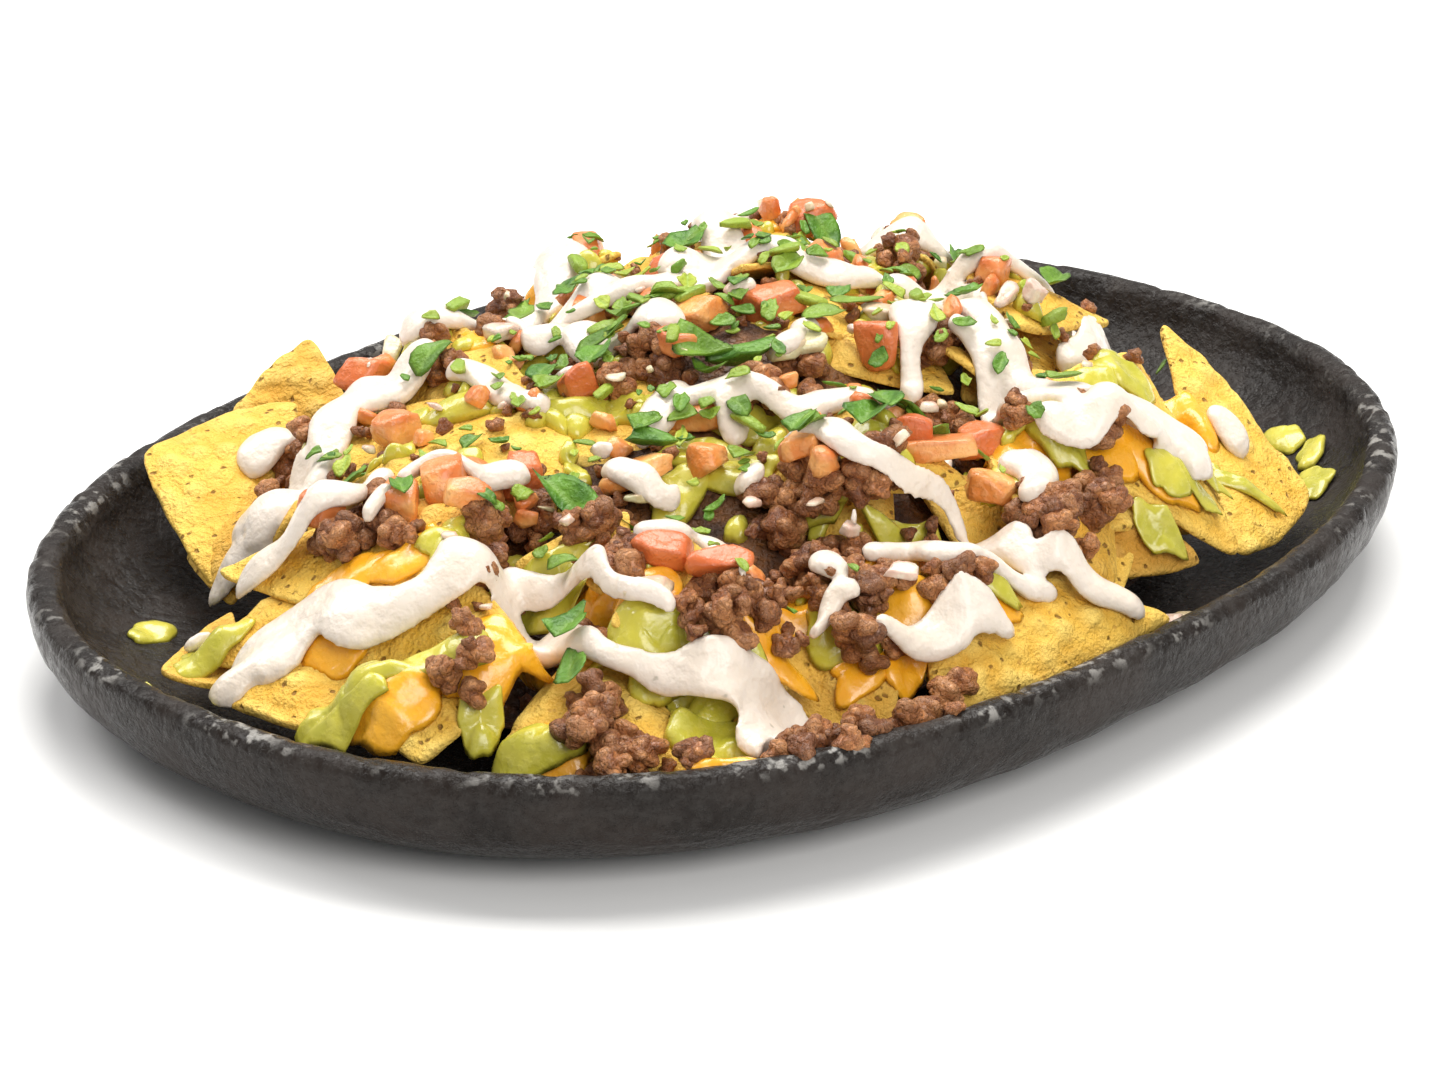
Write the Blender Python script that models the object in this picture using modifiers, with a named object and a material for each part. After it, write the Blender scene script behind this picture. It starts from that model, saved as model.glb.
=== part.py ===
"""Loaded nachos in a black oval dish.

The dish is a shallow oval of stoneware with a thick rolled lip and a flat foot. It holds a heap of
tortilla chips, drawn here as one solid core with the whole chips that stick out of it as pieces of
their own, and the larger toppings: browned beef, diced tomato, cheese, guacamole and sour cream.
Everything rests with a hairline gap to its neighbours.

Frame: origin under the middle of the dish on the table, +X along the dish's length, +Z up.
"""

import math

import bmesh
import bpy
import numpy as np
from mathutils import Matrix, Vector, noise
from mathutils.bvhtree import BVHTree

MM = 0.001
GAP = 0.3 * MM
SHARPEST = 2.0  # how many gaps the corner of a cutter may move out, at the most

# Dish: an oval of the form |x/a|^n + |y/b|^n = 1, kept parallel to itself from lip to floor.
DISH_LENGTH = 320 * MM
DISH_WIDTH = 240 * MM
DISH_HEIGHT = 27 * MM
OVAL_POWER = 2.36
OVAL_SEGMENTS = 48
WALL_SWEEP = 35.5 * MM
WALL_POWER = 0.91
LIP_WIDTH = 7 * MM
FLOOR_HEIGHT = 6.5 * MM
FOOT_INSET = 31 * MM

# Heap: rises from an oval outline on the floor to a peak a little off the middle.
HEAP_LENGTH = 254 * MM
HEAP_WIDTH = 194 * MM
HEAP_CENTRE = (-8 * MM, -7 * MM)
HEAP_PEAK = (18 * MM, 8 * MM, 84 * MM)
HEAP_EDGE_HEIGHT = 20 * MM
HEAP_POWER = 2.2
HEAP_ROUNDNESS = 1.6
# Waves round the heap's outline: how many, how deep as a share of the reach, and their start.
HEAP_WAVES = ((5, 0.035, 0.6), (9, 0.02, 0.0))
CORE_SEGMENTS = 32
# Rings of the core as shares of the way from peak to outline: over its top, and back over the floor.
CORE_TOP_RINGS = (0.16, 0.32, 0.47, 0.61, 0.74, 0.86, 0.95, 1.0)
CORE_FLOOR_RINGS = (0.99, 0.8, 0.5)
CORE_DEPTH = 3.5 * MM
CORE_LUMPS = 5 * MM
CORE_LUMP_SIZE = 24 * MM
CORE_CLEARANCE = 0.8 * MM

# Chips: rounded triangles of fried tortilla.
CHIP_THICKNESS = 2.0 * MM
CHIP_CORNER = 0.13  # where the rounding of a corner starts, as a share of the side
CHIP_BULGE = 0.05  # how far a side's middle stands out, as a share of its distance to the centre
CHIP_INNER_RING = 0.6

# Each chip: three corners in millimetres, and how far its middle bows out, in millimetres.
CHIPS = {
    "chip_left_back": ((-81, 100, 31), (-42, 88, 38), (-99, 50, 14), 3),
    "chip_left_rear": ((-27, 99, 43), (-50, 104, 30), (-38, 74, 27), 2),
    "chip_left_front": ((-115, 42, 30), (-84, -6, 54), (-117, -20, 38), 3),
    "chip_left_low": ((-139, 32, 18), (-108, 42, 20), (-132, 17, 16), 1),
    "chip_front_left": ((-141, 14, 21), (-137, -24, 20), (-106, 2, 30), 2),
    "chip_front_small": ((-134, -15, 29), (-137, -40, 19.5), (-105, -45, 38), 2),
    "chip_front_middle": ((-127, -50, 18.5), (-99, -87, 19.5), (-92, -43, 34), 3),
    "chip_upper_middle": ((-98, -53, 41), (-70, -77, 37), (-69, -48, 51), 2),
    "chip_front_right": ((-54, -101, 20.5), (21, -107, 21.5), (-24, -76, 40), 6),
    "chip_right_inner": ((-2, -84, 42), (53, -87, 23), (8, -62, 50), 2),
    "chip_right_long": ((14, -64, 57), (48, -102, 20.5), (68, -56, 53), 3),
    "chip_right_outer": ((92, -41, 51), (92, -86, 20), (53, -97, 18.5), 2),
    "chip_back_left": ((0, 93, 27), (48, 89, 27), (22, 52, 63), 3),
    "chip_back_right": ((62, 84, 27), (97, 59, 27), (58, 42, 60), 3),
    "chip_end_right": ((104, 46, 27), (113, 8, 27), (72, 20, 60), 3),
}

DICE_TIP = 15  # how far a dice may be tipped, in degrees

# Toppings: where each one lies (millimetres), its size across and its height.
BEEF = (
    (-75, -59, 22, 16), (-41, -58, 27, 19), (12, -84, 21, 15), (-105, -62, 23, 17),
    (22, -45, 24, 18), (-6, 74, 20, 15), (-38, -12, 19, 14), (-97, 24, 19, 13),
    (-30, -39, 16, 12), (-61, -88, 15, 12), (40, -69, 13, 10), (-13, 16, 14, 11),
)
TOMATO = (
    (-80, 6, 19, 13), (-72, -9, 16, 12), (-6, -21, 16, 11), (-44, -29, 15, 10), (-22, -8, 12, 9),
    (-25, 20, 12, 9), (0, -7, 15, 8), (4, -40, 13, 11), (-71, 32, 12, 9), (-3, -69, 14, 9),
)
CHEESE = ((-126, -27, 25, 9), (-49, 22, 15, 8), (-59, -72, 17, 7), (-106, -33, 15, 6), (25, -66, 14, 7))
GUACAMOLE = (
    (-90, -79, 23, 9), (-119, -15, 25, 7), (-56, -85, 14, 7), (74, -42, 17, 8), (57, -86, 16, 5),
)
CREAM_DOLLOPS = ((-122, 32, 12, 10), (-27, -89, 22, 8), (-86, 50, 22, 11), (-57, -45, 16, 12))

# Herb leaves: where each one lies, its length and width in millimetres, and its turn in degrees.
LEAVES = ((-28, -17, 19, 12, 20), (-66, -24, 21, 9, 35))
LEAF_THICKNESS = 1.0 * MM
LEAF_LIFT = 2.0 * MM
LEAF_POINTS = 12

# Ribbons of sour cream: the line each one follows in millimetres, its width and its thickness.
CREAM_RIBBONS = {
    "cream_ribbon_front": (
        ((-134, 18), (-124, 13), (-112, 4), (-104, -12), (-97, -28), (-99, -45), (-91, -57), (-82, -70),
         (-73, -84)), 15, 8),
    "cream_ribbon_right": (((-37, -70), (-20, -80), (-3, -90), (8, -94), (17, -99)), 8, 5),
    "cream_ribbon_top": (((-7, 16), (-2, 7), (4, 0), (13, -6)), 10, 6),
    "cream_ribbon_chip": (((29, -59), (46, -62), (57, -68), (60, -78)), 14, 6),
}

COLOURS = {
    "dish": ((0.018, 0.016, 0.015), 0.38),
    "core": ((0.42, 0.22, 0.06), 0.70),
    "chip": ((0.80, 0.47, 0.08), 0.62),
    "beef": ((0.16, 0.07, 0.04), 0.48),
    "tomato": ((0.66, 0.14, 0.06), 0.28),
    "cheese": ((0.90, 0.42, 0.02), 0.25),
    "guacamole": ((0.33, 0.38, 0.04), 0.25),
    "cream": ((0.84, 0.80, 0.75), 0.30),
    "herb": ((0.09, 0.22, 0.03), 0.40),
}


def material(name):
    """Gives the named finish, made the first time it is asked for."""
    found = bpy.data.materials.get(name)
    if found:
        return found
    colour, roughness = COLOURS[name]
    made = bpy.data.materials.new(name)
    made.use_nodes = True
    shader = made.node_tree.nodes["Principled BSDF"]
    shader.inputs["Base Color"].default_value = (*colour, 1.0)
    shader.inputs["Roughness"].default_value = roughness
    shader.inputs["Metallic"].default_value = 0.0
    return made


def collection(name):
    """Makes a collection in the scene."""
    made = bpy.data.collections.new(name)
    bpy.context.scene.collection.children.link(made)
    return made


def add_object(name, shape, finish, group):
    """Turns a bmesh into a smooth object of the given collection."""
    mesh = bpy.data.meshes.new(name)
    bmesh.ops.recalc_face_normals(shape, faces=shape.faces)
    shape.to_mesh(mesh)
    shape.free()
    mesh.shade_smooth()
    mesh.set_sharp_from_angle(angle=math.radians(40))
    mesh.materials.append(material(finish))
    made = bpy.data.objects.new(name, mesh)
    group.objects.link(made)
    return made


# ---------------------------------------------------------------- the dish


def oval(half_length, half_width, power=OVAL_POWER, segments=OVAL_SEGMENTS):
    """Points round the oval |x/a|^n + |y/b|^n = 1."""
    turn = np.arange(segments) * 2 * math.pi / segments
    cos, sin = np.cos(turn), np.sin(turn)
    x = half_length * np.sign(cos) * np.abs(cos) ** (2 / power)
    y = half_width * np.sign(sin) * np.abs(sin) ** (2 / power)
    return np.stack([x, y], axis=1)


def floor_profile():
    """Inset from the rim and height of the dish's inner side, lip to floor."""
    top = DISH_HEIGHT
    return [
        (LIP_WIDTH, top - 2.5 * MM), (LIP_WIDTH + 1.5 * MM, top - 6 * MM), (LIP_WIDTH + 3 * MM, top - 9 * MM),
        (2 * LIP_WIDTH, top - 12 * MM), (3 * LIP_WIDTH, FLOOR_HEIGHT + 5 * MM),
        (5 * LIP_WIDTH, FLOOR_HEIGHT + 2 * MM), (8 * LIP_WIDTH, FLOOR_HEIGHT + 0.5 * MM),
    ]


def outer_profile():
    """Inset and height of the dish's outer side, foot to lip: a full quarter curve joins foot and wall."""
    top = DISH_HEIGHT
    wall = top - 3.5 * MM
    curve = []
    for degrees in (68, 50, 34, 20, 8):
        angle = math.radians(degrees)
        curve.append((WALL_SWEEP * (1 - math.cos(angle) ** WALL_POWER), wall * (1 - math.sin(angle) ** WALL_POWER)))
    lip = [(0.0, wall), (1.2 * MM, top - 1 * MM), (LIP_WIDTH / 2, top), (LIP_WIDTH - 1 * MM, top - 0.8 * MM)]
    return [(FOOT_INSET, 0.0)] + curve + lip


def make_dish(group):
    """The dish: its profile carried round the oval, closed by a flat foot and a level floor."""
    shape = bmesh.new()
    rings = []
    for inset, height in outer_profile() + floor_profile():
        outline = oval(DISH_LENGTH / 2 - inset, DISH_WIDTH / 2 - inset)
        rings.append([shape.verts.new((x, y, height)) for x, y in outline])
    for lower, upper in zip(rings, rings[1:]):
        for i in range(OVAL_SEGMENTS):
            j = (i + 1) % OVAL_SEGMENTS
            shape.faces.new((lower[i], lower[j], upper[j], upper[i]))
    shape.faces.new(rings[0])
    middle = shape.verts.new((0, 0, FLOOR_HEIGHT))
    for i in range(OVAL_SEGMENTS):
        shape.faces.new((rings[-1][i], rings[-1][(i + 1) % OVAL_SEGMENTS], middle))
    return add_object("dish", shape, "dish", group)


def dish_inset(x, y):
    """How far inside the rim a point lies, found by halving on the family of parallel ovals."""
    low, high = 0.0, DISH_WIDTH / 2 - 2 * MM
    for _ in range(24):
        middle = (low + high) / 2
        a = DISH_LENGTH / 2 - middle
        b = DISH_WIDTH / 2 - middle
        inside = abs(x / a) ** OVAL_POWER + abs(y / b) ** OVAL_POWER < 1
        low, high = (middle, high) if inside else (low, middle)
    return low


def floor_height(x, y):
    """Height of the dish's inside under a point."""
    insets, heights = zip(*floor_profile())
    return float(np.interp(dish_inset(x, y), insets, heights))


# ---------------------------------------------------------------- the heap


def heap_reach(turn):
    """Distance from under the peak to the heap's outline in one direction."""
    low, high = 0.0, HEAP_LENGTH
    for _ in range(30):
        middle = (low + high) / 2
        x = HEAP_PEAK[0] + middle * math.cos(turn) - HEAP_CENTRE[0]
        y = HEAP_PEAK[1] + middle * math.sin(turn) - HEAP_CENTRE[1]
        inside = abs(2 * x / HEAP_LENGTH) ** HEAP_POWER + abs(2 * y / HEAP_WIDTH) ** HEAP_POWER < 1
        low, high = (middle, high) if inside else (low, middle)
    return low * (1 + sum(depth * math.sin(count * turn + start) for count, depth, start in HEAP_WAVES))


def heap_height(fraction):
    """Height of the heap at a fraction of the way from the peak to the outline."""
    return HEAP_EDGE_HEIGHT + (HEAP_PEAK[2] - HEAP_EDGE_HEIGHT) * (1 - fraction ** HEAP_ROUNDNESS)


def heap_point(turn, fraction, height=None):
    """A point of the heap, on its lumpy surface or, with a height, over the dish's floor."""
    reach = heap_reach(turn) * fraction
    x = HEAP_PEAK[0] + reach * math.cos(turn)
    y = HEAP_PEAK[1] + reach * math.sin(turn)
    if height is None:
        lumps = CORE_LUMPS * noise.noise(Vector((x, y, 0.0)) / CORE_LUMP_SIZE)
        return (x, y, heap_height(fraction) - CORE_DEPTH + lumps * (1 - fraction ** 3))
    return (x, y, floor_height(x, y) + height)


def make_core(group):
    """The packed inside of the heap: rings from the peak to the outline, then back over the floor."""
    turns = [2 * math.pi * i / CORE_SEGMENTS for i in range(CORE_SEGMENTS)]
    shape = bmesh.new()
    rings = []
    for fraction in CORE_TOP_RINGS:
        rings.append([shape.verts.new(heap_point(turn, fraction)) for turn in turns])
    for fraction in CORE_FLOOR_RINGS:
        rings.append([shape.verts.new(heap_point(turn, fraction, CORE_CLEARANCE)) for turn in turns])
    for upper, lower in zip(rings, rings[1:]):
        for i in range(CORE_SEGMENTS):
            j = (i + 1) % CORE_SEGMENTS
            shape.faces.new((upper[i], lower[i], lower[j], upper[j]))
    for ring, tip in ((rings[0], heap_point(0, 0)), (rings[-1], heap_point(0, 0, CORE_CLEARANCE))):
        middle = shape.verts.new(tip)
        for i in range(CORE_SEGMENTS):
            shape.faces.new((ring[i], ring[(i + 1) % CORE_SEGMENTS], middle))
    return add_object("heap_core", shape, "core", group)


# ---------------------------------------------------------------- the chips


def chip_outline(corners):
    """Points round a triangle whose corners are rounded and whose sides bulge a little."""
    points = []
    for i in range(3):
        here, before, after = corners[i], corners[i - 1], corners[(i + 1) % 3]
        start = here.lerp(before, CHIP_CORNER)
        end = here.lerp(after, CHIP_CORNER)
        for t in (0.0, 0.35, 0.65, 1.0):
            points.append(start * (1 - t) ** 2 + here * 2 * t * (1 - t) + end * t ** 2)
        side_middle = here.lerp(after, 0.5)
        centre = (corners[0] + corners[1] + corners[2]) / 3
        points.append(side_middle + (side_middle - centre) * CHIP_BULGE)
    return points


def make_chip(name, group):
    """One chip: a bowed sheet of rings about its middle, thickened to both sides."""
    *corners, bow = CHIPS[name]
    corners = [Vector(corner) * MM for corner in corners]
    centre = (corners[0] + corners[1] + corners[2]) / 3
    normal = (corners[1] - corners[0]).cross(corners[2] - corners[0]).normalized()
    if normal.z < 0:
        normal.negate()
    outline = chip_outline(corners)
    shape = bmesh.new()
    rings = []
    for scale in (1.0, CHIP_INNER_RING):
        lift = normal * bow * MM * (1 - scale ** 2)
        rings.append([shape.verts.new(centre + (point - centre) * scale + lift) for point in outline])
    tip = shape.verts.new(centre + normal * bow * MM)
    count = len(outline)
    for i in range(count):
        j = (i + 1) % count
        shape.faces.new((rings[0][i], rings[0][j], rings[1][j], rings[1][i]))
        shape.faces.new((rings[1][i], rings[1][j], tip))
    made = add_object(name, shape, "chip", group)
    sheet = made.modifiers.new("thickness", "SOLIDIFY")
    sheet.thickness = CHIP_THICKNESS
    sheet.offset = 0.0
    return made


# ---------------------------------------------------------------- the toppings


class Surface:
    """The top of everything placed so far, for laying the next piece on."""

    def __init__(self, objects):
        self.trees = [BVHTree.FromObject(obj, bpy.context.evaluated_depsgraph_get()) for obj in objects]

    def height(self, x, y):
        """Highest point over (x, y)."""
        hits = (tree.ray_cast(Vector((x, y, 1.0)), Vector((0, 0, -1)))[0] for tree in self.trees)
        return max((hit.z for hit in hits if hit is not None), default=floor_height(x, y))


def make_lump(name, finish, place, below, group, detail=2, bumps=0.3, sink=0.2):
    """A rounded lump on what lies below; place is x, y, width and height in millimetres."""
    x, y, width, height = (value * MM for value in place)
    seed = Vector(place[:3]) * 0.37
    shape = bmesh.new()
    bmesh.ops.create_icosphere(shape, subdivisions=detail, radius=0.5)
    for vert in shape.verts:
        vert.co *= 1 + bumps * noise.noise(vert.co.normalized() * 2.1 + seed)
        vert.co = Vector((vert.co.x * width, vert.co.y * width * 0.85, vert.co.z * height))
    bottom = min(vert.co.z for vert in shape.verts)
    rest = below.height(x, y) - bottom - sink * height
    bmesh.ops.translate(shape, verts=shape.verts, vec=(x, y, rest))
    return add_object(name, shape, finish, group)


def make_dice(name, place, below, group):
    """A cut cube of tomato with softened edges, turned and tipped by where it lies."""
    x, y, width, height = (value * MM for value in place)
    turn = Matrix.Rotation(math.radians(37 * place[0] % 90), 3, "Z")
    tip = Matrix.Rotation(math.radians(17 * place[1] % (2 * DICE_TIP) - DICE_TIP), 3, "X")
    shape = bmesh.new()
    bmesh.ops.create_cube(shape, size=1.0)
    bmesh.ops.scale(shape, verts=shape.verts, vec=(width, width * 0.7, height))
    bmesh.ops.bevel(shape, geom=shape.edges[:], offset=height * 0.2, segments=1, affect="EDGES")
    bmesh.ops.rotate(shape, verts=shape.verts, cent=(0, 0, 0), matrix=turn @ tip)
    bmesh.ops.translate(shape, verts=shape.verts, vec=(x, y, below.height(x, y) + height * 0.35))
    return add_object(name, shape, "tomato", group)


def make_leaf(name, place, below, group):
    """A flat pointed leaf lying along the slope below it, its middle raised a little."""
    x, y, length, width = (value * MM for value in place[:4])
    step = length / 4
    slope_x = (below.height(x + step, y) - below.height(x - step, y)) / (2 * step)
    slope_y = (below.height(x, y + step) - below.height(x, y - step)) / (2 * step)
    normal = Vector((-slope_x, -slope_y, 1)).normalized()
    turn = Matrix.Rotation(math.radians(place[4]), 3, "Z")
    frame = normal.to_track_quat("Z", "Y").to_matrix() @ turn
    centre = Vector((x, y, below.height(x, y))) + normal * LEAF_LIFT
    shape = bmesh.new()
    ring = []
    for i in range(LEAF_POINTS):
        angle = 2 * math.pi * i / LEAF_POINTS
        along = math.cos(angle) * length / 2
        across = math.sin(angle) * abs(math.sin(angle)) ** 0.4 * width / 2
        ring.append(shape.verts.new(centre + frame @ Vector((along, across, 0))))
    tip = shape.verts.new(centre + normal * width * 0.12)
    for i in range(LEAF_POINTS):
        shape.faces.new((ring[i], ring[(i + 1) % LEAF_POINTS], tip))
    made = add_object(name, shape, "herb", group)
    sheet = made.modifiers.new("thickness", "SOLIDIFY")
    sheet.thickness = LEAF_THICKNESS
    sheet.offset = 0.0
    return made


def smooth_path(points, steps):
    """Points along a Catmull-Rom curve through the given ones."""
    ends = [2 * points[0] - points[1]] + list(points) + [2 * points[-1] - points[-2]]
    path = []
    for before, start, end, after in zip(ends, ends[1:], ends[2:], ends[3:]):
        for step in range(steps):
            t = step / steps
            path.append(0.5 * (2 * start + (end - before) * t
                               + (2 * before - 5 * start + 4 * end - after) * t ** 2
                               + (3 * start - before - 3 * end + after) * t ** 3))
    path.append(points[-1])
    return path


def make_ribbon(name, below, group, steps=2, sides=7):
    """A ribbon of sour cream: an oval section carried over what lies below, round at both ends."""
    line, width, thickness = CREAM_RIBBONS[name]
    path = smooth_path([Vector((x, y, 0)) * MM for x, y in line], steps)
    last = len(path) - 1
    lifted = [Vector((p.x, p.y, below.height(p.x, p.y))) for p in path]
    heights = [max(lifted[max(i - 1, 0)].z, p.z, lifted[min(i + 1, last)].z) for i, p in enumerate(lifted)]
    shape = bmesh.new()
    rings = []
    for i, point in enumerate(path):
        along = (path[min(i + 1, last)] - path[max(i - 1, 0)]).normalized()
        across = Vector((-along.y, along.x, 0))
        taper = math.sqrt(math.sin(math.pi * (0.12 + 0.76 * i / last)))
        centre = Vector((point.x, point.y, heights[i] + thickness * MM * 0.2))
        ring = []
        for side in range(sides):
            angle = 2 * math.pi * side / sides
            reach = across * math.cos(angle) * width * MM / 2 * taper
            rise = Vector((0, 0, math.sin(angle) * thickness * MM / 2 * taper))
            ring.append(shape.verts.new(centre + reach + rise))
        rings.append(ring)
    for near, far in zip(rings, rings[1:]):
        for i in range(sides):
            j = (i + 1) % sides
            shape.faces.new((near[i], far[i], far[j], near[j]))
    for ring, outward in ((rings[0], path[0] - path[1]), (rings[-1], path[-1] - path[-2])):
        middle = sum((vert.co for vert in ring), Vector()) / sides
        tip = shape.verts.new(middle + outward.normalized() * width * MM * 0.25)
        for i in range(sides):
            shape.faces.new((ring[i], ring[(i + 1) % sides], tip))
    return add_object(name, shape, "cream", group)


# ---------------------------------------------------------------- fitting the pieces together


def swell(obj, cutters):
    """A copy of a piece, larger by the gap all round, to cut its neighbours with."""
    mesh = bpy.data.meshes.new_from_object(obj.evaluated_get(bpy.context.evaluated_depsgraph_get()))
    cutter = bpy.data.objects.new("cut_" + obj.name, mesh)
    cutter.hide_render = True
    cutter.display_type = "WIRE"
    cutters.objects.link(cutter)
    shape = bmesh.new()
    shape.from_mesh(mesh)
    shape.normal_update()
    moves = [(vert, vert.normal * min(vert.calc_shell_factor(), SHARPEST) * GAP) for vert in shape.verts]
    for vert, move in moves:
        vert.co += move
    shape.to_mesh(mesh)
    shape.free()
    return cutter


def bounds(obj):
    """Lowest and highest corner of a piece."""
    mesh = obj.evaluated_get(bpy.context.evaluated_depsgraph_get()).to_mesh()
    points = np.empty(len(mesh.vertices) * 3)
    mesh.vertices.foreach_get("co", points)
    points = points.reshape(-1, 3)
    return points.min(axis=0), points.max(axis=0)


def touching(obj, cutters):
    """The cutters whose box meets a piece's box."""
    low, high = bounds(obj)
    found = []
    for cutter in cutters:
        other_low, other_high = bounds(cutter)
        if np.all(low <= other_high) and np.all(other_low <= high):
            found.append(cutter)
    return found


def keep_largest_body(mesh):
    """Drops the crumbs that a cut leaves, so that a piece stays one body."""
    shape = bmesh.new()
    shape.from_mesh(mesh)
    waiting = set(shape.verts)
    bodies = []
    while waiting:
        front = [waiting.pop()]
        body = set(front)
        while front:
            for edge in front.pop().link_edges:
                for vert in edge.verts:
                    if vert not in body:
                        body.add(vert)
                        front.append(vert)
        waiting -= body
        bodies.append(body)
    largest = max(bodies, key=len)
    crumbs = [vert for body in bodies if body is not largest for vert in body]
    bmesh.ops.delete(shape, geom=crumbs, context="VERTS")
    shape.to_mesh(mesh)
    shape.free()


def fit_round(obj, cutters):
    """Cuts a piece back from its neighbours and keeps what is left as its mesh."""
    for cutter in touching(obj, cutters):
        cut = obj.modifiers.new("fit " + cutter.name, "BOOLEAN")
        cut.operation = "DIFFERENCE"
        cut.solver = "EXACT"
        cut.object = cutter
    mesh = bpy.data.meshes.new_from_object(obj.evaluated_get(bpy.context.evaluated_depsgraph_get()))
    obj.modifiers.clear()
    obj.data = mesh
    keep_largest_body(mesh)


def make_toppings(below, group):
    """All the larger toppings, in the order in which the later ones give way to the earlier."""
    made = []
    for number, place in enumerate(TOMATO, start=1):
        made.append(make_dice(f"tomato_{number}", place, below, group))
    for number, place in enumerate(BEEF, start=1):
        made.append(make_lump(f"beef_{number}", "beef", place, below, group, detail=3 if place[2] > 25 else 2,
                              bumps=0.5))
    for number, place in enumerate(CHEESE, start=1):
        made.append(make_lump(f"cheese_{number}", "cheese", place, below, group))
    for number, place in enumerate(GUACAMOLE, start=1):
        made.append(make_lump(f"guacamole_{number}", "guacamole", place, below, group))
    for number, place in enumerate(CREAM_DOLLOPS, start=1):
        made.append(make_lump(f"cream_dollop_{number}", "cream", place, below, group))
    for name in CREAM_RIBBONS:
        made.append(make_ribbon(name, below, group))
    for number, place in enumerate(LEAVES, start=1):
        made.append(make_leaf(f"herb_leaf_{number}", place, below, group))
    return made


def main():
    """Builds the dish, the heap, the chips and the toppings, and fits them together."""
    for obj in list(bpy.data.objects):
        bpy.data.objects.remove(obj, do_unlink=True)
    food = collection("nachos")
    cutters = collection("cutters")
    dish = make_dish(food)
    core = make_core(food)
    chips = [make_chip(name, food) for name in CHIPS]
    bpy.context.view_layer.update()
    toppings = make_toppings(Surface([core] + chips), food)
    bpy.context.view_layer.update()
    chip_cutters = [swell(chip, cutters) for chip in chips]
    fitted = [swell(dish, cutters), swell(core, cutters)] + chip_cutters
    for topping in toppings:
        fit_round(topping, fitted)
        fitted.append(swell(topping, cutters))
    fit_round(core, chip_cutters)


main()
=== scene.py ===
"""Loaded nachos in a black oval dish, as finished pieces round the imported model.

The dish is rough dark stoneware with a worn lip. In it lies a heap of tortilla chips under melted cheese,
guacamole, browned beef, tomato, onion, herbs and ribbons of sour cream. Every piece is made of closed
skins, each a first pole, rings of points and a last pole; the sour cream's are then fused into one.
Lengths are in metres unless a name or a comment says otherwise. The tables of places are in millimetres,
in the frame's own axes.
"""

import math

import bpy
import numpy as np
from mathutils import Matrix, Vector


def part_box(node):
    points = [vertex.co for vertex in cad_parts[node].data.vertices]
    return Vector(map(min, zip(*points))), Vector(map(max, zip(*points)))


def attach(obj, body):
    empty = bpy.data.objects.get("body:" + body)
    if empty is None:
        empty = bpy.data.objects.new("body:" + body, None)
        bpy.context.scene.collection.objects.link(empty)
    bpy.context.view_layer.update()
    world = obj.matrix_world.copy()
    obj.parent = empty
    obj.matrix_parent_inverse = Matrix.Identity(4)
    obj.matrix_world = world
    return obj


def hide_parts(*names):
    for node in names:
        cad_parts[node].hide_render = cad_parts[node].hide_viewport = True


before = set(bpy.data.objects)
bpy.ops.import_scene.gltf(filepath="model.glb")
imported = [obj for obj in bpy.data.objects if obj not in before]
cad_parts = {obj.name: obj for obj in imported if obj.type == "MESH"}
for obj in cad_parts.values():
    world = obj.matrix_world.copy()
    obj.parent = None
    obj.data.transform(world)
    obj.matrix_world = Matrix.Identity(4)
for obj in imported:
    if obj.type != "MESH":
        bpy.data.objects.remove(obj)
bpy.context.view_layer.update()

bl_info = {
    "name": "Loaded nachos",
    "version": (1, 0, 0),
    "blender": (4, 5, 0),
    "location": "3D View > Sidebar > Nachos",
    "description": "Dresses the loaded nachos and their black oval dish",
    "category": "Object",
}

MM = 0.001
DISH_BOX = np.array(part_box("dish"))
HEAP_BOX = np.array(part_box("heap_core"))

# The heap's shape: it falls from a peak to an oval outline on the dish's floor.
HEAP_PEAK = np.array((18.0, 8.0, 76.0)) * MM
HEAP_CENTRE = np.array((-8.0, -7.0)) * MM
HEAP_REACH = np.array((127.0, 97.0)) * MM
HEAP_EDGE = 20 * MM
HEAP_POWER = 2.2
HEAP_ROUNDNESS = 1.6
# The dark inside reaches this share of the way to the outline, and lies this far under the even surface.
BED_SHARE = 0.84
BED_DEPTH = 13 * MM

DISH_POWER = 2.36
DISH_SEGMENTS = 420
# The dish's section in millimetres, as inset from the outermost oval and height, from the foot's middle over
# the lip to the floor's middle. The wall is a quarter curve of that sweep and height.
DISH_FOOT = ((116, 0), (100, 0), (80, 0), (60, 0), (45, 0), (33, 0))
DISH_SWEEP = 35.5
DISH_WALL = 23.5
DISH_WALL_POWER = 0.91
DISH_LIP = ((0, 24), (0.3, 25.4), (1.4, 26.6), (3.5, 27), (5.4, 26.6), (6.5, 25.6), (7, 24.2))
DISH_INNER = ((7.6, 22), (8.5, 20.6), (10, 18), (14, 15), (21, 11.5), (35, 8.5), (56, 7))
DISH_FLOOR = ((72, 6.6), (90, 6.5), (105, 6.5), (116, 6.5))
# Rings of the section, counted from its end, that lie inside and stay free of the outer wall's fine ridges.
INNER_RINGS = 30
# Heights in millimetres: the lip's wear, its painted glints and its chipping set in from the wall's height up
# to the first, and above the second nothing rises much, so that the dish keeps its height.
LIP_WORN_AND_GLINTING = 26.3
LIP_KEPT = 26.5

CHIP_THICKNESS = 1.6 * MM
# Painted shade: these two chips of the model on the left get this much of the chips' darker, oranger shade
# tint.
SHADED_CHIPS = ("chip_left_low", "chip_left_rear")
CHIP_PAINTED_SHADE = 0.3
# Rings and segments of a chip's skin: those between and under the toppings, and the whole ones.
INNER_FINENESS = (16, 60)
WHOLE_FINENESS = (32, 96)
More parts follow.
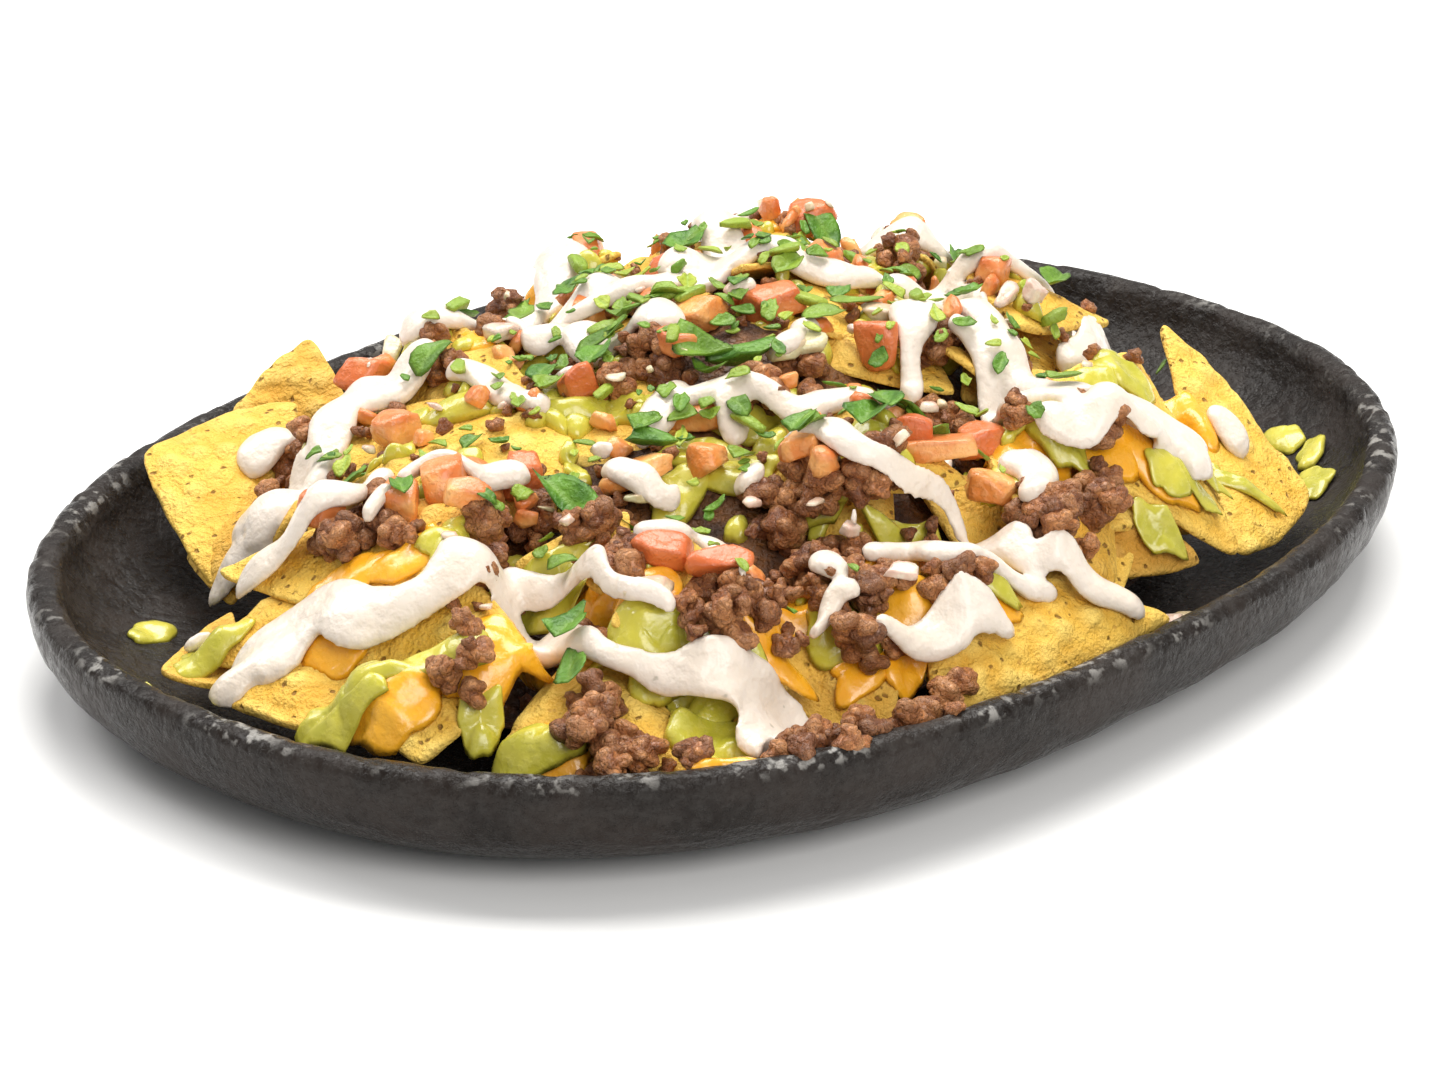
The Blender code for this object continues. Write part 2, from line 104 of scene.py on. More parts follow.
# Chips piled at random: how many, between which shares of the way out, and lift in millimetres.
PILED_CHIPS = ((16, 0.52, 0.84, -7.5), (7, 0.15, 0.45, -14.0))
# How many small bits are scattered over the heap, the second lot of herbs only over its inner part. The
# loose crumbs of mince are one of the settings.
LOOSE_GUACAMOLE = 130
LOOSE_TOMATO = 70
LOOSE_ONION = 60
LOOSE_HERBS = 120
LOOSE_HERBS_INNER = 110
CRUMB_FLATNESS = 0.85
CRUMB_SINK = 0.34
# Crumbs in the bunches with a larger radius than this get a finer skin with more lobes.
LARGE_CRUMB = 2.9 * MM
SLANT_CUTS = 3
# The flat cuts leave less than the half sizes ask for, and this makes up for it.
DICE_FULLNESS = 1.35
LEAF_HALF_THICKNESS = 0.28 * MM
RIBBON_SEGMENTS = 20
CREAM_HIGHEST = 3.8 * MM
CREAM_VOXEL = 0.8 * MM
CREAM_ROUNDS = 6

CAMERA_PLACE = (-0.8786, -0.7848, 0.5114)
CAMERA_AIM = Vector((0, 0, 0.0107))
CAMERA_LENS = 148.35
CAMERA_SENSOR = 36.0
CAMERA_SHIFT = (-0.008, 0.0092)
SKY_STRENGTH = 0.4
FLOOR_HALF = 3
# Soft lights: name, place, size, share of the power setting, colour.
LIGHTS = (
    ("overhead", (0.42, 0.3, 1.3), 1.1, 0.86, (1.0, 0.985, 0.955)),
    ("front", (-0.5, -1.2, 0.9), 0.9, 0.42, (1.0, 0.985, 0.96)),
    ("back", (-0.3, 1.1, 1.1), 0.7, 0.3, (1.0, 0.99, 0.98)),
)


def frame_nodes(start):
    """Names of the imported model's nodes that start with a word."""
    return [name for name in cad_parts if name.startswith(start)]


# ---------------------------------------------------------------- numbers with a natural unevenness


def cell_value(cells, seed):
    """A value from 0 to 1 for each whole-number cell, made by multiplying and folding its coordinates."""
    x, y, z = (cells[..., axis].astype(np.int64) for axis in range(3))
    mixed = (x * 374761393 + y * 668265263 + z * 1274126177 + seed * 97463477) & 0xFFFFFFFF
    mixed = ((mixed ^ (mixed >> 13)) * 1274126177) & 0xFFFFFFFF
    return (mixed ^ (mixed >> 16)) / 0xFFFFFFFF


def waves(points, size, seed=0):
    """Smooth unevenness from -1 to 1 with swells of the given size: cell values joined by smooth steps."""
    scaled = np.asarray(points) / size
    base = np.floor(scaled)
    part = scaled - base
    part = part * part * (3 - 2 * part)
    total = 0.0
    for corner in np.ndindex(2, 2, 2):
        weight = np.prod(np.where(corner, part, 1 - part), axis=-1)
        total = total + weight * cell_value(base + corner, seed)
    return 2 * total - 1


def pebbles(points, size, seed=0):
    """Distance to the nearest of many scattered centres, one to a cell, as a share of the cell's size."""
    scaled = np.asarray(points) / size
    base = np.floor(scaled)
    nearest = np.full(scaled.shape[:-1], 9.0)
    for step in np.ndindex(3, 3, 3):
        cell = base + np.array(step) - 1
        centre = cell + np.stack([cell_value(cell, seed + k) for k in range(3)], axis=-1)
        nearest = np.minimum(nearest, np.linalg.norm(scaled - centre, axis=-1))
    return nearest


def ease(value, low, high):
    """Smooth step from 0 at low to 1 at high."""
    share = np.clip((value - low) / (high - low), 0, 1)
    return share * share * (3 - 2 * share)


def unit(vector):
    """The vector at length one."""
    return vector / np.linalg.norm(vector)


def round_way(segments):
    """Evenly spaced angles once round."""
    return np.linspace(0, 2 * math.pi, segments, endpoint=False)


def circle(segments):
    """Evenly spaced angles once round, and the unit circle's points there."""
    way = round_way(segments)[None]
    return way, np.stack([np.cos(way), np.sin(way), 0 * way], axis=-1)


def laid(x, y, along, across, turn):
    """Places on the ground that far along and across from x, y, in directions turned by an angle."""
    cos, sin = math.cos(turn), math.sin(turn)
    return x + along * cos - across * sin, y + along * sin + across * cos


def running_mean(line, reach):
    """Each value's mean with its neighbours up to reach away, the ends carried on."""
    window = np.ones(2 * reach + 1) / (2 * reach + 1)
    return np.convolve(np.pad(line, reach, mode="edge"), window, "valid")


def walked_length(line):
    """How far along a line of points each of them is."""
    return np.concatenate([[0], np.cumsum(np.linalg.norm(np.diff(line, axis=0), axis=1))])


def about(axis, angle):
    """Turns by those angles about the x, y or z axis (0, 1 or 2), one 3 by 3 matrix each."""
    made = np.zeros((len(angle), 3, 3))
    first, second = (axis + 1) % 3, (axis + 2) % 3
    made[:, axis, axis] = 1
    made[:, first, first] = made[:, second, second] = np.cos(angle)
    made[:, first, second] = -np.sin(angle)
    made[:, second, first] = np.sin(angle)
    return made


def turned(rng, count, tilt):
    """Random turns: any turn about the vertical, then a tip of at most tilt to any side."""
    spin = rng.uniform(0, 2 * math.pi, count)
    tip = rng.uniform(-1, 1, count) * tilt
    way = rng.uniform(0, 2 * math.pi, count)
    return about(2, way) @ about(0, tip) @ about(2, spin)


# ---------------------------------------------------------------- closed skins


def capped(first, rings, last):
    """A skin's points or marks in order: its first pole, its rings, its last pole."""
    return np.concatenate([[first], rings.reshape(-1, *rings.shape[2:]), [last]])


def faced(upper, lower):
    """Rings of two faces that meet at their last ring, from one middle out and back to the other."""
    return np.concatenate([upper, lower[-2::-1]])


def ball(rings, segments):
    """Directions over a ball, as a closed skin: the top pole, rings going down, the bottom pole."""
    down = np.linspace(0, math.pi, rings + 2)[1:-1, None]
    turn = round_way(segments)[None, :]
    flat = [np.sin(down) * np.cos(turn), np.sin(down) * np.sin(turn)]
    ring = np.stack([*flat, np.cos(down) + 0 * turn], axis=-1)
    return capped((0, 0, 1.0), ring, (0, 0, -1.0))


class Skins:
    """Closed skins gathered into one mesh, with named marks on their points for the finishes to read."""

    def __init__(self):
        self.points, self.quads, self.fans, self.marks, self.count = [], [], [], {}, 0

    def add(self, points, rings, segments, **marks):
        """Adds skins of one layout: points is (skins, 1 + rings * segments + 1, 3). Inside-out ones are
        turned."""
        points = np.asarray(points, dtype=float)
        if points.ndim == 2:
            points = points[None]
        number, size = points.shape[:2]
        grid = 1 + np.arange(rings * segments).reshape(rings, segments)
        beside = np.roll(grid, -1, axis=1)
        quads = np.stack([grid[:-1], grid[1:], beside[1:], beside[:-1]], axis=-1).reshape(-1, 4)
        fans = np.concatenate([
            np.stack([np.zeros(segments, int), grid[0], beside[0]], axis=-1),
            np.stack([np.full(segments, size - 1), beside[-1], grid[-1]], axis=-1)])
        middle = points.mean(axis=1, keepdims=True)
        part = [(points - middle)[:, corner] for corner in quads[:, :3].T]
        volume = np.einsum("nfi,nfi->n", part[0], np.cross(part[1], part[2]))
        for sign, chosen in ((1, volume >= 0), (-1, volume < 0)):
            start = (self.count + size * np.flatnonzero(chosen))[:, None, None]
            self.quads.append((quads[:, ::sign] + start).reshape(-1, 4))
            self.fans.append((fans[:, ::sign] + start).reshape(-1, 3))
        self.points.append(points.reshape(-1, 3))
        for name, value in marks.items():
            value = np.asarray(value, dtype=float)
            if value.ndim == 1 and len(value) == number and number != size:
                value = value[:, None]
            self.marks.setdefault(name, []).append(np.broadcast_to(value, (number, size)).reshape(-1))
        self.count += number * size

    def join(self, part):
        """Takes in the skins and marks of another collection."""
        self.points.extend(part.points)
        self.quads.extend(quads + self.count for quads in part.quads)
        self.fans.extend(fans + self.count for fans in part.fans)
        for name, values in part.marks.items():
            self.marks.setdefault(name, []).extend(values)
        self.count += part.count

    def arrays(self):
        """All points, four-sided faces and three-sided faces so far."""
        return np.concatenate(self.points), np.concatenate(self.quads), np.concatenate(self.fans)

    def mesh(self, name):
        """Puts the skins into a smooth mesh."""
        points, quads, fans = self.arrays()
        mesh = bpy.data.meshes.new(name)
        mesh.vertices.add(len(points))
        mesh.vertices.foreach_set("co", points.ravel())
        mesh.loops.add(quads.size + fans.size)
        mesh.loops.foreach_set("vertex_index", np.concatenate([quads.ravel(), fans.ravel()]))
        mesh.polygons.add(len(quads) + len(fans))
        mesh.polygons.foreach_set("loop_start", np.concatenate(
            [4 * np.arange(len(quads)), quads.size + 3 * np.arange(len(fans))]))
        mesh.update(calc_edges=True)
        mesh.shade_smooth()
        for mark, values in self.marks.items():
            mesh.attributes.new(mark, "FLOAT", "POINT").data.foreach_set("value", np.concatenate(values))
        if mesh.validate():
            raise RuntimeError(f"{name} has faces that don't close")
        return mesh


def linked(name, data):
    """A new object in the scene."""
    made = bpy.data.objects.new(name, data)
    bpy.context.scene.collection.objects.link(made)
    return made


def aimed(made, place, target):
    """Puts a lamp or the camera at a place and points it at a target."""
    made.location = place
    made.rotation_euler = (target - made.location).to_track_quat("-Z", "Y").to_euler()


def finish_piece(name, mesh, finish, nodes=()):
    """Makes the piece's object, with its finish, its place on the model and the nodes it stands for."""
    mesh.name = name
    mesh.materials.clear()
    mesh.materials.append(finish)
    made = linked(name, mesh)
    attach(made, "root")
    if nodes:
        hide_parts(*nodes)


class Ground:
    """How high the food already in the dish stands, on a grid of one-millimetre cells over it."""

    CELL = 1.0 * MM
    SIZE = np.array((340, 260))

    def __init__(self):
        self.top = np.full(self.SIZE, -1.0)
        self.soft = {}

    def cover(self, skins):
        """Raises the cells under the skins to their tops: every quad is sampled at 4 by 4 spots."""
        points, quads, _ = skins.arrays()
        share = (np.arange(4) + 0.5) / 4
        u, v = (axis.reshape(-1, 1, 1) for axis in np.meshgrid(share, share))
        a, b, c, d = (points[corner] for corner in quads.T)
        inside = a * (1 - u) * (1 - v) + b * u * (1 - v) + c * u * v + d * (1 - u) * v
        spots = np.concatenate([inside.reshape(-1, 3), points])
        cell = np.clip((spots[:, :2] / self.CELL + self.SIZE / 2).astype(int), 0, self.SIZE - 1)
        np.maximum.at(self.top, (cell[:, 0], cell[:, 1]), spots[:, 2])
        self.soft = {}

    def softened(self, reach):
        """The heights with gaps bridged and thin tips left out: the highest within reach, the lowest within
        two cells more, the highest within three, then a running mean over reach, twice."""
        if reach not in self.soft:
            field = self.top
            steps = ((np.max, reach), (np.min, reach + 2), (np.max, 3), (np.mean, reach), (np.mean, reach))
            for pick, span in steps:
                for axis in (0, 1):
                    moved = [np.roll(field, step, axis) for step in range(-span, span + 1)]
                    field = pick(moved, axis=0)
            self.soft[reach] = field
        return self.soft[reach]

    def height(self, x, y, reach=1):
        """The softened height at each place, read between the four nearest cells."""
        field = self.softened(reach)
        u = np.clip(np.asarray(x) / self.CELL + self.SIZE[0] / 2 - 0.5, 0, self.SIZE[0] - 1.001)
        v = np.clip(np.asarray(y) / self.CELL + self.SIZE[1] / 2 - 0.5, 0, self.SIZE[1] - 1.001)
        i, j = u.astype(int), v.astype(int)
        u, v = u - i, v - j
        return ((field[i, j] * (1 - u) + field[i + 1, j] * u) * (1 - v)
                + (field[i, j + 1] * (1 - u) + field[i + 1, j + 1] * u) * v)


GROUND = Ground()


def heap_share(x, y):
    """How far a place is from the heap's peak, as a share of the way to its outline, found by halving."""
    away = np.stack([x, y], axis=-1) - HEAP_PEAK[:2]
    near, far = np.full(away.shape[:-1], 0.01), np.full(away.shape[:-1], 1000.0)
    for _ in range(32):
        middle = (near + far) / 2
        spot = (HEAP_PEAK[:2] + away * middle[..., None] - HEAP_CENTRE) / HEAP_REACH
        inside = (np.abs(spot) ** HEAP_POWER).sum(axis=-1) < 1
        near, far = np.where(inside, middle, near), np.where(inside, far, middle)
    return 1 / near


def heap_height(share):
    """Height of the heap's even surface at that share of the way out."""
    return HEAP_EDGE + (HEAP_PEAK[2] - HEAP_EDGE) * (1 - np.clip(share, 0, 1) ** HEAP_ROUNDNESS)


# ---------------------------------------------------------------- finishes


def new_node(tree, kind, **values):
    """A shader node with some of its own settings changed."""
    made = tree.nodes.new("ShaderNode" + kind)
    for name, value in values.items():
        setattr(made, name, value)
    return made


def feed(tree, value, socket):
    """Gives a socket a number, a colour or another node's output."""
    if isinstance(value, bpy.types.NodeSocket):
        tree.links.new(value, socket)
    elif socket.type == "RGBA" and len(value) == 3:
        socket.default_value = (*value, 1.0)
    else:
        socket.default_value = value


class Finish:
    """A material in the making: short names for adding nodes and joining them."""

    def __init__(self, name, roughness=0.5, **uniform):
        self.material = bpy.data.materials.get(name)
        self.fresh = self.material is None
        if not self.fresh:
            return
        self.material = bpy.data.materials.new(name)
        self.material.use_nodes = True
        self.tree = self.material.node_tree
        self.shader = self.tree.nodes["Principled BSDF"]
        self.shader.inputs["Roughness"].default_value = roughness
        for socket, value in uniform.items():
            self.shader.inputs[socket.replace("_", " ")].default_value = value

    def group(self, tree, **values):
        """Uses a shared effect and gives back its one output."""
        made = new_node(self.tree, "Group", node_tree=tree)
        for name, value in values.items():
            feed(self.tree, value, made.inputs[name])
        return made.outputs[0]

    def soft(self, scale, low, high, detail=3.0):
        """A soft, uneven share from 0 to 1."""
        return self.group(mottle(), Scale=scale, Low=low, High=high, Detail=detail)

    def dots(self, scale, size, amount):
        """A mask of scattered specks."""
        return self.group(specks(), Scale=scale, Size=size, Amount=amount)

    def mix(self, share, first, second):
        """From the first colour to the second by a share."""
        made = new_node(self.tree, "Mix", data_type="RGBA")
        for value, place in ((share, 0), (first, 6), (second, 7)):
            feed(self.tree, value, made.inputs[place])
        return made.outputs[2]

    def over(self, colour, tint, share, amount=1.0):
        """The colour, turned towards a tint by a share times an amount."""
        return self.mix(share if amount == 1.0 else self.times(share, amount), colour, tint)

    def work(self, how, *values):
        """One step of arithmetic; sums and products stay between 0 and 1."""
        made = new_node(self.tree, "Math", operation=how, use_clamp=how in ("ADD", "MULTIPLY"))
        for value, socket in zip(values, made.inputs):
            feed(self.tree, value, socket)
        return made.outputs[0]

    def times(self, first, second):
        """The product of two values."""
        return self.work("MULTIPLY", first, second)

    def blend(self, first, first_share, second, second_share):
        """The sum of two values, each by its own share."""
        return self.work("ADD", self.times(first, first_share), self.times(second, second_share))

    def ramp(self, value, low, high, start, end):
        """Runs from start to end while the value goes from low to high."""
        made = new_node(self.tree, "MapRange", interpolation_type="SMOOTHSTEP")
        for number, socket in zip((value, low, high, start, end), made.inputs):
            feed(self.tree, number, socket)
        return made.outputs[0]

    def mark(self, name):
        """A named mark on the points."""
        return new_node(self.tree, "Attribute", attribute_name=name).outputs["Fac"]

    def set(self, colour, roughness=None, height=None, depth=0.0):
        """Joins the results to the shader: base colour, roughness, relief of that depth in metres."""
        feed(self.tree, colour, self.shader.inputs["Base Color"])
        if roughness is not None:
            feed(self.tree, roughness, self.shader.inputs["Roughness"])
        if height is not None:
            bump = new_node(self.tree, "Bump")
            bump.inputs["Strength"].default_value = 1.0
            bump.inputs["Distance"].default_value = depth
            feed(self.tree, height, bump.inputs["Height"])
            feed(self.tree, bump.outputs[0], self.shader.inputs["Normal"])


def effect(name, inputs, output):
    """A shared node group with named number inputs and one output; returns it with its input and output
    nodes, or with None twice when it is already there."""
    tree = bpy.data.node_groups.get(name)
    if tree:
        return tree, None, None
    tree = bpy.data.node_groups.new(name, "ShaderNodeTree")
    for label, value in inputs.items():
        socket = tree.interface.new_socket(label, in_out="INPUT", socket_type="NodeSocketFloat")
        socket.default_value = value
    tree.interface.new_socket(output, in_out="OUTPUT", socket_type="NodeSocketFloat")
    return tree, tree.nodes.new("NodeGroupInput"), tree.nodes.new("NodeGroupOutput")


def wire(tree, *pairs):
    """Joins each output to its socket."""
    for source, socket in pairs:
        tree.links.new(source, socket)


def mottle():
    """Shared effect: a soft, uneven share from 0 to 1, from noise of a given swell size per metre."""
    tree, given, result = effect("mottle", {"Scale": 100.0, "Low": 0.4, "High": 0.6, "Detail": 3.0}, "Share")
    if given:
        place = new_node(tree, "TexCoord")
        noise = new_node(tree, "TexNoise")
        shift = new_node(tree, "MapRange", interpolation_type="SMOOTHSTEP")
        wire(tree,
             (place.outputs["Object"], noise.inputs["Vector"]),
             (given.outputs["Scale"], noise.inputs["Scale"]),
             (given.outputs["Detail"], noise.inputs["Detail"]),
             (noise.outputs["Fac"], shift.inputs[0]),
             (given.outputs["Low"], shift.inputs[1]),
             (given.outputs["High"], shift.inputs[2]),
             (shift.outputs[0], result.inputs[0]))
    return tree


def specks():
    """Shared effect: a mask of scattered specks with wavy edges; Amount is how many cells hold one."""
    tree, given, result = effect("specks", {"Scale": 200.0, "Size": 0.2, "Amount": 0.3}, "Mask")
    if given:
        place = new_node(tree, "TexCoord")
        bend = new_node(tree, "TexNoise")
        bend.inputs["Scale"].default_value = 600.0
        push = new_node(tree, "VectorMath", operation="MULTIPLY_ADD")
        push.inputs[1].default_value = (1.6 * MM,) * 3
        cells = new_node(tree, "TexVoronoi")
        near = new_node(tree, "MapRange", interpolation_type="SMOOTHSTEP")
        near.inputs[3].default_value = 1.0
        near.inputs[4].default_value = 0.0
        core = new_node(tree, "Math", operation="MULTIPLY")
        core.inputs[1].default_value = 0.4
        split = new_node(tree, "SeparateColor")
        chosen = new_node(tree, "Math", operation="LESS_THAN")
        both = new_node(tree, "Math", operation="MULTIPLY")
        wire(tree,
             (place.outputs["Object"], bend.inputs["Vector"]),
             (bend.outputs["Color"], push.inputs[0]),
             (place.outputs["Object"], push.inputs[2]),
             (push.outputs[0], cells.inputs["Vector"]),
             (given.outputs["Scale"], cells.inputs["Scale"]),
             (cells.outputs["Distance"], near.inputs[0]),
             (given.outputs["Size"], core.inputs[0]),
             (core.outputs[0], near.inputs[1]),
             (given.outputs["Size"], near.inputs[2]),
             (cells.outputs["Color"], split.inputs[0]),
             (split.outputs[0], chosen.inputs[0]),
             (given.outputs["Amount"], chosen.inputs[1]),
             (near.outputs[0], both.inputs[0]),
             (chosen.outputs[0], both.inputs[1]),
             (both.outputs[0], result.inputs[0]))
    return tree


def stoneware_finish(chosen):
    """Near-black glaze: brown blotches, pale worn grains with painted glints along the lip, a patchy soft
    gloss.
    """
    made = Finish("stoneware", 0.4, Specular_IOR_Level=0.14)
    if made.fresh:
        wide = made.soft(70.0, 0.35, 0.68)
        fine = made.soft(420.0, 0.3, 0.75, 5.0)
        grain = made.soft(900.0, 0.5, 0.62, 4.0)
        worn_and_glinting = made.soft(330.0, 0.52, 0.64, 4.0)
        here = made.soft(38.0, 0.42, 0.62)
        dark = made.mix(wide, tuple(chosen.glaze), tuple(c * 2.1 for c in chosen.glaze))
        dark = made.over(dark, (0.055, 0.051, 0.047), fine, 0.3)
        # Painted glints: the pale colour along the lip is worn clay and also stands in for glints of light on
        # it.
        wear_and_glinting = made.times(made.times(made.mark("lip"), worn_and_glinting), made.times(here, chosen.wear_and_glinting))
        rough = made.ramp(made.blend(wide, 0.5, fine, 0.5), 0.1, 0.9, 0.2, 0.44)
        colour = made.mix(wear_and_glinting, dark, tuple(chosen.worn_and_glinting))
        made.set(colour, rough, made.blend(fine, 0.7, grain, 0.3), 0.35 * MM)
    return made.material


def chip_finish(chosen):
    """Fried corn: golden yellow with deeper patches, pale blisters, brown pinholes and a toasted edge,
    and painted shade on the chips that lie under others.
    """
    made = Finish("fried_corn", 0.6, Specular_IOR_Level=0.25)
    if made.fresh:
        gold, deep, pale = tuple(chosen.gold), tuple(chosen.deep), tuple(chosen.pale)
        patch = made.soft(75.0, 0.36, 0.66)
        dapple = made.soft(330.0, 0.38, 0.66, 4.0)
        grain = made.soft(1300.0, 0.3, 0.7)
        pin = made.dots(290.0, 0.22, 0.75)
        dust = made.dots(400.0, 0.26, 0.6)
        colour = made.over(gold, deep, patch, 0.75)
        colour = made.over(colour, pale, made.mark("blister"), 0.7)
        colour = made.over(colour, pale, dapple, 0.28)
        # Painted shade: the shade mark darkens and oranges the chips that lie under and among the others; on
        # the whole chips a small random part of it is their own tone.
        colour = made.over(colour, (0.50, 0.20, 0.022), made.mark("shade"))
        colour = made.over(colour, pale, made.mark("edge"), 0.35)
        colour = made.over(colour, (0.33, 0.13, 0.02), dust, 0.45)
        colour = made.over(colour, (0.20, 0.075, 0.014), pin, 0.8)
        relief = made.work("SUBTRACT", made.blend(grain, 0.4, dapple, 0.6), pin)
        made.set(colour, made.ramp(dapple, 0, 1, 0.5, 0.7), relief, 0.6 * MM)
    return made.material


def food_finish(name, roughness, colours, patch, grain, tints, depth, gloss=None, **uniform):
    """What most foods share: two colours in soft patches, tints laid over them in order, and a fine relief.
    A tint is its source (the grain or a mark on the points), how much of it counts, and its colour."""
    made = Finish(name, roughness, **uniform)
    if made.fresh:
        fine = made.soft(*grain)
        colour = made.mix(made.soft(*patch), *colours)
        for source, amount, tint in tints:
            share = fine if source == "grain" else made.mark(source)
            colour = made.over(colour, tint, share, amount)
        made.set(colour, made.ramp(fine, 0, 1, *gloss) if gloss else None, fine, depth)
    return made.material


def bed_finish():
    """The dark inside of the heap: near-black browns painted as shade in the gaps between the chips."""
    # Painted shade: near-black browns stand in for the shadow in the gaps under and between the chips.
    return food_finish(
        "heap_inside_painted_shade", 0.55, ((0.055, 0.02, 0.008), (0.20, 0.075, 0.015)),
        (110.0, 0.4, 0.62), (600.0, 0.35, 0.65, 4.0), (("grain", 0.4, (0.03, 0.012, 0.006)),), 0.6 * MM)


def melted_finish(name, first, second, third, roughness, lumps):
    """A melted or mashed cover: a main colour drifting to two others, wet and slightly lumpy."""
    return food_finish(
        name, roughness, (first, second), (95.0, 0.38, 0.64), (430.0, 0.35, 0.7, 4.0),
        (("grain", 0.3, third), ("thin", 0.55, second)), lumps, (roughness * 0.8, roughness * 1.3),
        Coat_Weight=0.5, Coat_Roughness=0.12)


def cheese_finish(chosen):
    """Melted cheese: deep to paler orange yellow."""
    return melted_finish("melted_cheese", tuple(chosen.cheese), (0.93, 0.45, 0.022), (0.95, 0.54, 0.06),
                         0.26, 0.12 * MM)


def guacamole_finish(chosen):
    """Guacamole: yellow green, paler where it is thin."""
    return melted_finish("mashed_avocado", tuple(chosen.guacamole), (0.60, 0.53, 0.055), (0.70, 0.64, 0.16),
                         0.24, 0.1 * MM)


def beef_finish(chosen):
    """Browned mince: lean and seared parts, wet with fat, with painted highlights on the bulging nodules."""
    return food_finish(
        "browned_beef", 0.45, (tuple(chosen.beef), tuple(chosen.seared)),
        (190.0, 0.38, 0.64), (1100.0, 0.35, 0.68, 4.0),
        # Painted highlight: the high mark lightens the bulges of the nodules, so the hollows between them
        # stay darker.
        (("high", 0.6, (0.70, 0.34, 0.135)), ("grain", 0.35, (0.15, 0.05, 0.022)),
         ("shade", 1.0, (0.09, 0.026, 0.012))), 0.6 * MM, (0.34, 0.58),
        Coat_Weight=0.15, Coat_Roughness=0.2, Specular_IOR_Level=0.35)


def tomato_finish():
    """Ripe tomato: orange-salmon flesh with paler streaks, and a redder skin side."""
    red = (0.60, 0.12, 0.03)
    return food_finish(
        "tomato_flesh", 0.36, ((0.76, 0.24, 0.045), (0.86, 0.42, 0.13)),
        (150.0, 0.38, 0.64), (700.0, 0.4, 0.7),
        (("grain", 0.3, (0.80, 0.45, 0.20)), ("shade", 1.0, red), ("skin", 0.5, red)), 0.15 * MM,
        Coat_Weight=0.25, Coat_Roughness=0.12)


def onion_finish():
    """Raw onion: milky white, rosy or greenish at one side."""
    return food_finish(
        "onion", 0.3, ((0.80, 0.70, 0.56), (0.72, 0.50, 0.38)), (210.0, 0.4, 0.62), (900.0, 0.3, 0.7),
        (("shade", 1.0, (0.50, 0.52, 0.16)), ("skin", 0.4, (0.62, 0.34, 0.27))), 0.1 * MM,
        Coat_Weight=0.3, Coat_Roughness=0.15)


def herb_finish():
    """Fresh herb and spring onion: deep to yellow green with paler veins."""
    return food_finish(
        "fresh_herb", 0.42, ((0.05, 0.15, 0.010), (0.12, 0.27, 0.022)),
        (170.0, 0.36, 0.64), (800.0, 0.35, 0.7),
        (("shade", 1.0, (0.40, 0.47, 0.05)), ("vein", 0.5, (0.20, 0.34, 0.05))), 0.2 * MM,
        Coat_Weight=0.1, Coat_Roughness=0.3, Specular_IOR_Level=0.3)


def cream_finish(chosen):
    """Sour cream: warm white with yellower patches and grey-green pepper specks, faintly see-through."""
    made = Finish("sour_cream", 0.32, Coat_Weight=0.25, Coat_Roughness=0.2, Subsurface_Weight=0.12)
    if made.fresh:
        made.shader.inputs["Subsurface Radius"].default_value = (1.0, 0.8, 0.55)
        made.shader.inputs["Subsurface Scale"].default_value = 2.0 * MM
        colour = made.over(tuple(chosen.cream), (0.74, 0.63, 0.50), made.soft(60.0, 0.35, 0.7), 0.5)
        colour = made.over(colour, (0.30, 0.28, 0.20), made.dots(130.0, 0.10, 0.4), 0.6)
        made.set(colour, None, made.soft(260.0, 0.3, 0.7), 0.25 * MM)
    return made.material


# ---------------------------------------------------------------- the dish


def smooth_section(corners, step, rounds):
    """A section line walked at even steps, its corners worn round by a running mean of three points."""
    corners = np.array(corners, dtype=float)
    length = walked_length(corners)
    walk = np.linspace(0, length[-1], max(3, int(round(length[-1] / step)) + 1))
    line = np.stack([np.interp(walk, length, corners[:, axis]) for axis in (0, 1)], axis=1)
    for _ in range(rounds):
        line[1:-1] = (line[:-2] + 2 * line[1:-1] + line[2:]) / 4
    return line


def dish_section():
    """The whole section in metres: foot, wall, lip, inside and floor. The wall runs from 74 to 4 degrees of a
    quarter curve: its inset is the sweep times 1 - cos^p, its height that of the wall times 1 - sin^p."""
    angle = np.radians(np.linspace(74, 4, 24))
    wall = np.stack([DISH_SWEEP * (1 - np.cos(angle) ** DISH_WALL_POWER),
                     DISH_WALL * (1 - np.sin(angle) ** DISH_WALL_POWER)], axis=1)
    outside = smooth_section(wall, 1.3, 2)
    lip = smooth_section([wall[-1], *DISH_LIP], 0.7, 3)
    inside = smooth_section(DISH_LIP[-1:] + DISH_INNER, 1.5, 2)
    return np.concatenate([DISH_FOOT, outside, lip[1:], inside[1:], DISH_FLOOR]) * MM


